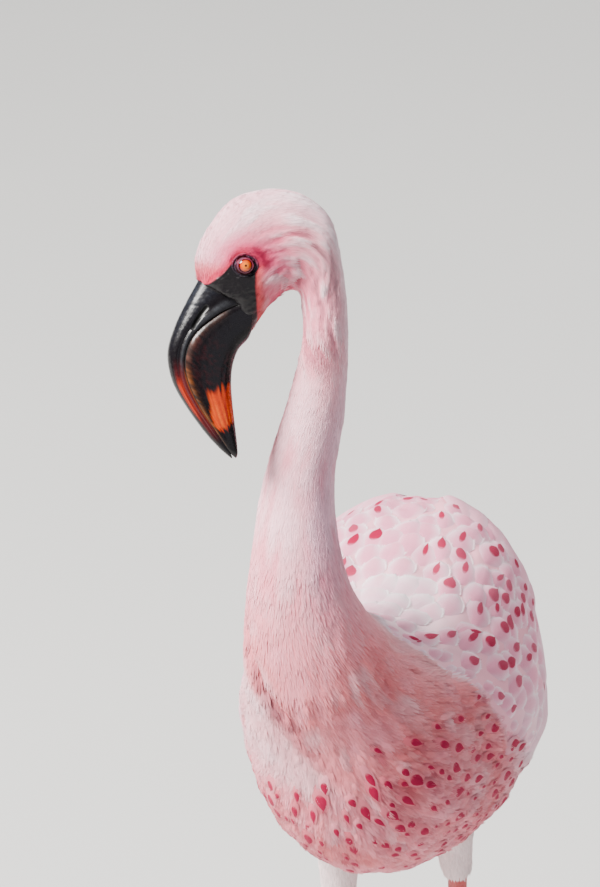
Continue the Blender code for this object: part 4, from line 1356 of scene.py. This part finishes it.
def add_eyelids(places, plumage, side, sign):
    """Puffed lids round the eye, which sink into the skin of the face, with fine folds."""
    centre, (e1, e2, axis) = places.eyes[0 if side == "left" else 1], disc_axes(places, sign)
    points, tints = [], []
    for ring in range(LID_RINGS):
        share = ring / (LID_RINGS - 1)
        late = ramp(share, 0.55, 0.95)
        for number in range(LID_SEGMENTS):
            turned = number * 2 * math.pi / LID_SEGMENTS
            c, s = math.cos(turned), math.sin(turned)
            inner = LID_INNER * (1 + 0.07 * c * c - 0.05 * s + 0.025 * math.sin(3 * turned + 0.7))
            outer = LID_OUTER * (1 + 0.14 * c * c + 0.05 * max(s, 0) + 0.03 * math.sin(4 * turned + 1.9))
            reach = inner + (outer - inner) * share
            flat = centre + reach * (c * e1 + s * e2)
            over = math.sqrt(max(EYE_RADIUS**2 - min(reach, EYE_RADIUS * 0.98) ** 2, 0))
            hit = plumage.tree.ray_cast(Vector(flat + axis * 0.02), Vector(-axis))[0]
            ground = (np.array(hit) - flat) @ axis if hit is not None else over
            globe = over + 0.00015 + 0.0005 * math.sin(math.pi * min(share / 0.30, 1.0)) ** 0.7
            blend = ramp(share, 0.10, 0.85)
            bend = 1.6 * s + 0.9 * math.sin(3 * turned + 1) + 0.7 * math.sin(7 * turned)
            wrinkle = math.sin(share * 19 + bend)
            fold = 0.00013 * wrinkle * math.sin(math.pi * share)
            puff = 0.00036 * math.sin(math.pi * share) * (1.0 + 0.60 * s)
            height = globe * (1 - blend) + (ground + 0.00015) * blend + puff + fold
            height -= 0.0010 * ramp(share, 0.84, 1.0)
            if ring == 0:
                height = over - 0.0006
            points.append(flat + axis * height)
            rim = math.exp(-(((share - 0.08) / 0.08) ** 2))
            # the lids are paler on the crests of their folds, as painted highlight, and darker in the
            # furrows, as painted shade
            grey = np.array(LID_GREY) * (1.0 + 0.8 * max(s, 0) + 0.30 * wrinkle)
            grey = grey + (np.array(FACE_BLACK) - grey) * 0.80 * max(-s, 0)
            around = np.array(CRIMSON) * 0.55 if s > 0.05 else np.array(FACE_BLACK)
            grey = grey + (around - grey) * late * min(1.0, 0.35 + abs(s))
            blotch = 0.5 + 0.5 * math.sin(5 * turned + 2.2 * math.sin(2 * turned) + 9 * share)
            grey = grey + (np.array(LID_BLOTCH) - grey) * max(s + 0.25, 0) * 0.7 * blotch
            tints.append(grey + (np.array(LID_RIM_PINK) - grey) * min(1.0, rim * (0.60 + 0.30 * s)))
    faces = faces_between(LID_RINGS, LID_SEGMENTS)
    if sign > 0:
        faces = [face[::-1] for face in faces]
    mesh = made_mesh(f"eyelids_{side}", points, faces)
    put_colour(mesh, "tint", limited(np.array(tints)))
    return linked(f"eyelids_{side}", mesh)


def lid_material():
    nodes = Nodes("eyelids")
    tint = nodes.attribute("tint", "Color")
    grain = nodes.noise(1800.0, 4.0)
    nodes.link(nodes.mix(nodes.remap(grain, 0.45, 0.75, 0.0, 0.25), tint, (0.20, 0.16, 0.22)), "Base Color")
    nodes.set(Roughness=0.52, Specular_IOR_Level=0.24)
    cells = nodes.add("ShaderNodeTexVoronoi", in_Scale=1500.0, in_Vector=nodes.object_coordinates())
    nodes.bump(cells.outputs["Distance"], 0.00025, 0.6)
    return nodes.material


# --- bill -------------------------------------------------------------------------------------------------

HORN_BLACK = (0.004, 0.003, 0.004)
# painted sheen: the sky's bluish reflection on the black horn
SKY_SHEEN = (0.014, 0.016, 0.022)
HORN_RED = (0.075, 0.006, 0.008)
FLAME = (0.540, 0.046, 0.001)
AMBER = (0.700, 0.210, 0.030)
LIP_TAN = (0.260, 0.120, 0.085)
BILL_ARC, BILL_FLOOR, BILL_LENGTHS = 72, 20, 170
BILL_ROUNDS_AT, BILL_END = 6.55, 7  # places along the bill between which its tip is rounded off


def refined_copy(node, name, levels):
    """A welded copy of a CAD node's mesh, subdivided."""
    shaped = welded(node)
    mesh = bpy.data.meshes.new(name)
    shaped.to_mesh(mesh)
    shaped.free()
    obj = linked(name, mesh)
    smooth = obj.modifiers.new("Smooth", "SUBSURF")
    smooth.levels = smooth.render_levels = levels
    made = evaluated_mesh(obj, name)
    made.materials.clear()
    made.shade_smooth()
    return made


def bill_rings(places, upper):
    """Rings of one half of the bill.

    Comes with each point's place along the bill, its share of the way from the edge of the mouth to the far
    side, whether it faces the mouth, and the number of points in a ring."""
    square = 0.80 if upper else 0.62
    round_off = BILL_ROUNDS_AT + (BILL_END - BILL_ROUNDS_AT) * np.sin(np.linspace(0, math.pi / 2, 16))
    along = np.concatenate([np.linspace(-0.60, BILL_ROUNDS_AT, BILL_LENGTHS), round_off[1:]])
    rows = smooth_rows(BILL_PROFILE, along)
    arc = np.linspace(0, math.pi, BILL_ARC)
    share = np.sin(arc) ** square
    across = np.sign(np.cos(arc)) * np.abs(np.cos(arc)) ** square
    floor = np.linspace(-1, 1, BILL_FLOOR + 2)[1:-1]
    points = []
    for place, row in zip(along, rows):
        far, edge, width = (row[:2], row[2:4], row[6]) if upper else (row[4:6], row[2:4], row[7])
        fall = limited((place - BILL_ROUNDS_AT) / (BILL_END - BILL_ROUNDS_AT))
        shrink = max(math.sqrt(1 - fall**2), 0.03)
        width = width * shrink * (1 - 0.03 * ramp(place, 0.7, -0.1))
        middle = (far + edge) / 2
        far, edge = middle + (far - middle) * shrink, middle + (edge - middle) * shrink
        inward = unit(edge - far)
        start = edge - inward * 0.12
        for s, a in zip(share, across):
            points.append(places.in_head(*(start + (far - start) * s), a * width))
        for a in floor:
            deep = 0.45 * ramp(1 - abs(a), 0.02, 0.22) * shrink
            points.append(places.in_head(*(start + inward * deep), a * width))
    size = BILL_ARC + BILL_FLOOR
    t = np.repeat(along, size)
    f = np.tile(np.concatenate([share, np.zeros(BILL_FLOOR)]), len(along))
    inside = np.tile(np.concatenate([np.zeros(BILL_ARC), np.ones(BILL_FLOOR)]), len(along))
    return np.array(points), t, f, inside, size


def nostril(hx, hy, ha):
    """1 in the long slit of the nostril, on both sides of the bill."""
    start, end = np.array((-19.4, -20.4)), np.array((-27.6, -33.6))
    way = unit(end - start)
    x, y = hx - start[0], hy - start[1]
    run = x * way[0] + y * way[1]
    aside = np.abs(-x * way[1] + y * way[0] + 0.9 * np.sin(run / 15.5 * math.pi))
    reach = np.linalg.norm(end - start)
    slit = ramp(aside, 1.50, 0.45) * ramp(run, -0.8, 1.2) * ramp(run, reach + 0.8, reach - 1.2)
    return slit * ramp(np.abs(ha), 1.0, 2.0)


def upper_bill(slit, ha, t, f, streak, fine):
    """Relief in metres and colour of the upper half of the bill."""
    sides = ramp(np.abs(ha), 1.5, 3.5)
    groove = bell((f - 0.40) / 0.085) * band(t, 0.4, 1.4, 5.2, 6.6) * sides
    shelf = bell((f - 0.21) / 0.085) * band(t, -0.1, 0.5, 3.0, 5.0)
    roll = bell((f - 0.05) / 0.05) * band(t, 0.2, 1.0, 5.6, 6.6)
    plates = bell((t - 0.55 - 0.5 * f) / 0.07) * ramp(f, 0.45, 0.8)
    rise = -0.0010 * slit - 0.00050 * groove + 0.00045 * shelf + 0.00015 * roll - 0.00012 * plates
    rise += 0.00005 * streak + 0.00004 * fine
    # painted sheen: a bluish reflection of the sky on the top of the upper half, towards its root
    sheen = ramp(f, 0.35, 0.95) * ramp(t, 3.4, 0.8)
    start, end = 3.75 + 0.35 * streak, 5.50 + 0.3 * streak
    flame = band(t, start, start + 0.6, end - 0.5, end) * band(f, 0.36, 0.46, 0.68, 0.84)
    warm_edge = bell((f - 0.03) / 0.05) * band(t, 3.4, 4.2, 5.2, 6.0)
    return rise, painted(
        HORN_BLACK,
        (SKY_SHEEN, limited(sheen * (0.7 + 0.5 * fine))),
        # the ridge below the nostril is greyer, as painted highlight
        ((0.040, 0.042, 0.048), limited(shelf * (0.55 + 0.35 * fine))),
        (HORN_RED, band(t, 3.0, 4.2, 5.6, 6.4) * ramp(f, 0.85, 0.6) * 0.8),
        ((0.440, 0.026, 0.001), limited(flame * (0.75 + 0.9 * streak))),
        (AMBER, limited(warm_edge * (0.5 + 0.6 * streak))),
        # the nostril's slit is painted blacker than the horn, as shade in its groove
        ((0.002, 0.002, 0.002), slit),
    )


def lower_bill(t, f, streak, fine):
    """Relief in metres and colour of the lower half of the bill."""
    lip = bell((f - 0.055) / 0.050) * band(t, 0.0, 0.8, 5.8, 6.7)
    trough = bell((f - 0.165) / 0.050) * band(t, 0.3, 1.2, 5.2, 6.4)
    flutes = np.sin(f * 46 + 2.0 * fine) * band(t, 1.0, 2.4, 5.4, 6.3) * ramp(f, 0.22, 0.4)
    rise = 0.00055 * lip - 0.00035 * trough + 0.00005 * flutes + 0.00006 * streak + 0.00004 * fine
    start = np.interp(f, (0.0, 0.40, 0.55, 1.0), (5.6, 4.05, 3.80, 2.75)) + 0.34 * streak
    end = np.interp(f, (0.08, 0.60, 0.96, 1.0), (5.85, 5.55, 5.00, 4.9)) + 0.22 * streak
    left = np.interp(t, (4.0, 4.7, 5.2, 5.8), (0.36, 0.34, 0.20, 0.06))
    flame = band(t, start, start + 0.45, end - 0.10, end + 0.10) * ramp(f, left, left + 0.10)
    deep = painted(
        FLAME,
        ((0.30, 0.010, 0.001), limited(0.4 + 1.1 * streak)),
        ((0.66, 0.120, 0.008), limited(-1.2 * streak - 0.1) * ramp(t, 4.2, 5.2)),
    )
    share = limited(lip * ramp(t, 0.2, 1.0) * (0.50 + 0.55 * fine + 0.3 * streak)) * 0.75
    return rise, painted(
        HORN_BLACK,
        (HORN_RED, band(t, 1.2, 2.2, 3.8, 4.8) * limited(0.04 + 0.20 * fine)),
        (deep, limited(flame * (1.05 + 0.25 * fine))),
        (mixed(LIP_TAN, AMBER, ramp(t, 3.0, 4.2)), share),
    )


def add_bill_half(places, half):
    upper = half == "upper"
    points, t, f, inside, size = bill_rings(places, upper)
    count = len(points) // size
    faces = faces_between(count, size)
    faces += [tuple(range(size))[::-1], tuple(range((count - 1) * size, count * size))]
    mesh = made_mesh(f"horn_{half}", points, faces)
    shaped = bmesh.new()
    shaped.from_mesh(mesh)
    bmesh.ops.recalc_face_normals(shaped, faces=shaped.faces)
    shaped.to_mesh(mesh)
    shaped.free()
    hx, hy, ha = places.head_coordinates(points)
    streak = value_noise(np.stack([f * 30, t * 0.9, np.sign(ha) * 3], axis=1), 1.0, 5)
    fine = value_noise(np.stack([hx, hy, ha], axis=1), 1.4, 6)
    slit = nostril(hx, hy, ha) * float(upper)
    rise, colour = upper_bill(slit, ha, t, f, streak, fine) if upper else lower_bill(t, f, streak, fine)
    set_points(mesh, points + normals_of(mesh) * (rise * (1 - inside) * ramp(t, 7.0, 6.4))[:, None])
    put_colour(mesh, "tint", limited(mixed(colour, (0.004, 0.003, 0.003), inside)))
    put_value(mesh, "dull", np.maximum(slit, inside))
    mesh.shade_smooth()
    return linked(f"horn_{half}", mesh)


def horn_material():
    nodes = Nodes("horn")
    tint = nodes.attribute("tint", "Color")
    scratch = nodes.noise(520.0, 5.0)
    fleck = nodes.noise(2600.0, 2.0)
    colour = nodes.mix(nodes.remap(fleck, 0.68, 0.78, 0.0, 0.10), tint, (0.22, 0.20, 0.20))
    colour = nodes.mix(nodes.remap(scratch, 0.60, 0.80, 0.0, 0.05), colour, (0.12, 0.09, 0.09))
    nodes.link(colour, "Base Color")
    worn = nodes.remap(scratch, 0.3, 0.7, 0.20, 0.34)
    nodes.link(nodes.math("MAXIMUM", worn, nodes.attribute("dull")), "Roughness")
    nodes.bump(scratch, 0.00022, 0.35)
    nodes.set(Specular_IOR_Level=0.24)
    return nodes.material


# --- legs -------------------------------------------------------------------------------------------------

LEG_CORAL = (0.500, 0.028, 0.036)
LEG_PALE = (0.640, 0.130, 0.125)
JOINT_RED = (0.460, 0.022, 0.030)
WEB_MAUVE = (0.430, 0.200, 0.210)
SOLE_GREY = (0.260, 0.140, 0.140)
LEG_VOXEL = 0.00085
LEG_SWELL = 0.00025
ANKLE_HEIGHT, TOE_JOINT_HEIGHT = 0.219, 0.014
SCUTE_SPACING = 0.0042


def add_leg(nodes, side):
    """Shin, tarsus and webbed foot as one piece of scaly skin."""
    parts = [nodes[f"{part}_{side}"] for part in ("shin", "tarsus", "foot")]
    mesh = joined(parts, LEG_SWELL, LEG_VOXEL, f"leg_{side}")
    points, edges = points_of(mesh), edges_of(mesh)
    sole = points[:, 2] < 0.0005
    points = smoothed(points, edges, 5, np.where(sole, 0.0, 0.5))
    points[:, 2] = np.maximum(points[:, 2], 0.0)
    set_points(mesh, points)
    normals = normals_of(mesh)
    height = points[:, 2]
    noise = value_noise(points, 0.009, 4)
    grain = value_noise(points, 0.0022, 5)
    joint = bell((height - ANKLE_HEIGHT) / 0.016) + bell((height - TOE_JOINT_HEIGHT) / 0.009)
    web = ramp(height, 0.0052, 0.0040) * ramp(np.abs(normals[:, 2]), 0.80, 0.95)
    put_colour(mesh, "tint", limited(painted(
        LEG_CORAL,
        (LEG_PALE, limited(0.30 + 0.45 * noise + 0.25 * grain) * 0.7),
        (JOINT_RED, limited(joint) * 0.75),
        (WEB_MAUVE, web * 0.85),
        (SOLE_GREY, ramp(height, 0.0012, 0.0004) * 0.7),
    )))
    front = ramp(-normals[:, 1], 0.1, 0.5) * ramp(height, 0.012, 0.020)
    scutes = np.abs(np.sin(height * math.pi / SCUTE_SPACING)) ** 0.35
    ridge = (scutes - 1.0) * front * 0.00022 + 0.00008 * grain
    set_points(mesh, points + normals * (ridge * ramp(height, 0.0008, 0.003))[:, None])
    mesh.materials.clear()
    mesh.shade_smooth()
    return linked(f"leg_{side}", mesh)


def leg_material():
    nodes = Nodes("leg_skin")
    tint = nodes.attribute("tint", "Color")
    stretch = nodes.add("ShaderNodeVectorMath", operation="MULTIPLY", in_0=nodes.object_coordinates(),
                        in_1=(1.0, 1.0, 0.62))
    cells = nodes.add("ShaderNodeTexVoronoi", in_Scale=620.0, in_Vector=stretch.outputs[0],
                      feature="DISTANCE_TO_EDGE")
    seam = nodes.remap(cells.outputs["Distance"], 0.0, 0.12, 1.0, 0.0)
    colour = nodes.mix(nodes.product(seam, 0.45), tint, (0.34, 0.045, 0.045))
    tone = nodes.noise(180.0, 3.0)
    colour = nodes.mix(nodes.remap(tone, 0.45, 0.7, 0.0, 0.15), colour, (0.82, 0.36, 0.32))
    nodes.link(colour, "Base Color")
    nodes.link(nodes.remap(tone, 0.3, 0.7, 0.42, 0.60), "Roughness")
    nodes.bump(nodes.remap(cells.outputs["Distance"], 0.0, 0.10), 0.00022, 0.8)
    return nodes.material


def claw_material():
    nodes = Nodes("claw")
    streak = nodes.noise(900.0, 4.0)
    nodes.link(nodes.mix(streak, (0.035, 0.030, 0.034), (0.13, 0.11, 0.11)), "Base Color")
    nodes.set(Roughness=0.38)
    nodes.bump(streak, 0.0001, 0.4)
    return nodes.material


# --- stage ------------------------------------------------------------------------------------------------


# name, place, target, size in metres, watts and colour
LIGHTS = (
    ("key", (-1.8, -1.1, 2.8), (0, -0.05, 0.5), 1.4, 440.0, (1.0, 0.970, 0.93)),
    ("fill", (1.8, -2.2, 1.2), (0, -0.05, 0.45), 2.2, 12.0, (0.86, 0.90, 1.0)),
    ("rim", (1.2, 1.7, 2.1), (0, 0, 0.5), 1.0, 50.0, (1.0, 0.98, 0.96)),
)
SKY_COLOUR, SKY_STRENGTH = (0.88, 0.92, 1.0), 0.19
FLOOR_REACH = 40.0


def add_stage():
    mesh = bpy.data.meshes.new("floor")
    corners = [(x * FLOOR_REACH, y * FLOOR_REACH, 0) for x, y in ((-1, -1), (1, -1), (1, 1), (-1, 1))]
    mesh.from_pydata(corners, [], [(0, 1, 2, 3)])
    nodes = Nodes("floor")
    tone = nodes.noise(3.0, 2.0)
    nodes.link(nodes.mix(tone, (0.62, 0.62, 0.61), (0.66, 0.66, 0.65)), "Base Color")
    nodes.set(Roughness=0.85)
    floor = linked("floor", mesh, nodes.material)


def add_light(name, place, target, size, energy, colour):
    data = bpy.data.lights.new(name, "AREA")
    data.shape = "DISK"
    data.size = size
    data.energy = energy
    data.color = colour
    light = bpy.data.objects.new(name, data)
    bpy.context.scene.collection.objects.link(light)
    light.location = place
    light.rotation_euler = (Vector(target) - Vector(place)).to_track_quat("-Z", "Y").to_euler()


def add_camera(places):
    azimuth, height = math.radians(CAMERA_AZIMUTH), math.radians(CAMERA_HEIGHT)
    level = math.cos(height)
    back = Vector((math.sin(azimuth) * level, -math.cos(azimuth) * level, math.sin(height)))
    data = bpy.data.cameras.new("camera")
    data.lens = CAMERA_LENS
    data.sensor_width = data.sensor_height = CAMERA_SENSOR
    data.shift_x, data.shift_y = CAMERA_SHIFT
    data.clip_end = 100.0
    camera = bpy.data.objects.new("camera", data)
    bpy.context.scene.collection.objects.link(camera)
    camera.location = Vector(places.trunk) + back * CAMERA_DISTANCE
    camera.rotation_euler = back.to_track_quat("Z", "Y").to_euler()
    bpy.context.scene.camera = camera


def add_lights():
    for light in LIGHTS:
        add_light(*light)
    world = bpy.data.worlds.new("studio")
    world.use_nodes = True
    background = world.node_tree.nodes["Background"]
    background.inputs["Color"].default_value = (*SKY_COLOUR, 1.0)
    background.inputs["Strength"].default_value = SKY_STRENGTH
    bpy.context.scene.world = world


# --- the bird ---------------------------------------------------------------------------------------------


def scatter_coat(skin, surface, lie, colour):
    """Small feathers over head, neck, breast, belly and thighs."""
    coat = Coat(skin, surface, lie, colour)
    hair, soft_wisp = hair_template("hair"), wisp_template("soft_wisp", 5, 0.44, 2)
    velvet = coat_material("velvet", 0.30, 0.05)
    down = coat_material("down", 0.35, 0.10)
    hx, hy, along, body = surface.hx, surface.hy, surface.along, surface.body

    dressed = ramp(bare_skin(surface), 0.55, 0.25)
    head = ramp(along, surface.head_end + 0.004, surface.head_end - 0.004)
    growth = 0.50 + 0.50 * ramp(np.hypot(hx - EYE_SPOT[0], hy - EYE_SPOT[1]), 8, 24)
    neck = (1 - head) * ramp(body[:, 2], 0.135, 0.150)
    stretch = ramp(along, 0.13, 0.30)
    low = ramp(body[:, 2], 0.155, 0.140)
    legs = ramp(body[:, 2], -0.088, -0.098)
    breast = low * (1 - ramp(back_share(surface), 0.45, 0.85)) * (1 - legs)
    belly = breast * ramp(body[:, 2], 0.10, 0.02)
    upper = ramp(body[:, 2], 0.02, 0.12)
    # name, vane, material, seed; then amount, length, width, spacing, lift and scatter of the feathers
    pieces = [coat.piece(*row) for row in (
        ("coat_head", hair, velvet, 42, head * dressed, 0.0038 * growth, 0.00062, 0.00068, 0.03, 0.11),
        ("coat_neck", hair, velvet, 44,
         neck, 0.0046 + 0.0018 * stretch, 0.00075 + 0.00025 * stretch, 0.00092, 0.03, 0.11),
        ("coat_breast", hair, down, 46,
         breast, 0.0082 - 0.0016 * upper, 0.00155 - 0.00045 * upper, 0.00128, 0.04, 0.12),
        ("coat_breast_down", soft_wisp, down, 48, belly, 0.0086, 0.0034, 0.0036, 0.12, 0.22),
        ("coat_thighs", hair, down, 50, legs, 0.0066, 0.0011, 0.00092, 0.05, 0.12),
    )]
    for helper in (hair, soft_wisp):
        bpy.data.objects.remove(helper)
    return pieces


def main():
    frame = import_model()
    nodes = frame["nodes"]
    places = Places()
    add_camera(places)
    add_lights()
    add_stage()

    skin = build_skin(nodes, places)
    surface = Surface(points_of(skin), places)
    colour = coat_colour(surface)
    lie = lie_of_coat(skin, surface)
    put_colour(skin, "tint", colour)
    put_value(skin, "bare", bare_skin(surface))
    skin.materials.clear()
    skin_piece = linked("skin", thinned(skin, places), skin_material())
    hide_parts(*FLESH)
    pieces = [skin_piece, *scatter_coat(skin, surface, lie, colour)]

    plumage = Plumage(skin, surface, lie, colour, places)
    vanes = feather_material("vanes")
    for part, lay in (("back", lay_back), ("breast", lay_marked), ("long", lay_long_feathers)):
        plumage.clear()
        lay(plumage)
        pieces += [plumage.piece(f"feathers_{part}", vanes), plumage.fringe_piece(f"fringe_{part}", vanes)]

    lids, iris, horn = lid_material(), eye_material(), horn_material()
    leg_skin, claw = leg_material(), claw_material()
    for side, sign in (("left", 1), ("right", -1)):
        eye = add_eye(places, side, sign)
        eye.data.materials.append(iris)
        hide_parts(f"eye_{side}")
        lid = add_eyelids(places, plumage, side, sign)
        lid.data.materials.append(lids)
        leg = add_leg(nodes, side)
        leg.data.materials.append(leg_skin)
        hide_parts(f"shin_{side}", f"tarsus_{side}", f"foot_{side}")
        pieces += [eye, lid, leg]
        for toe in ("inner", "middle", "outer", "hind"):
            name = f"claw_{side}_{toe}"
            made = linked(f"nail_{side}_{toe}", refined_copy(nodes[name], f"nail_{side}_{toe}", 2), claw)
            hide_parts(name)
            pieces.append(made)
    for half in ("upper", "lower"):
        piece = add_bill_half(places, half)
        piece.data.materials.append(horn)
        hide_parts(f"bill_{half}")
        pieces.append(piece)
    for piece in pieces:
        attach(piece, "root")

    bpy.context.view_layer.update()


main()
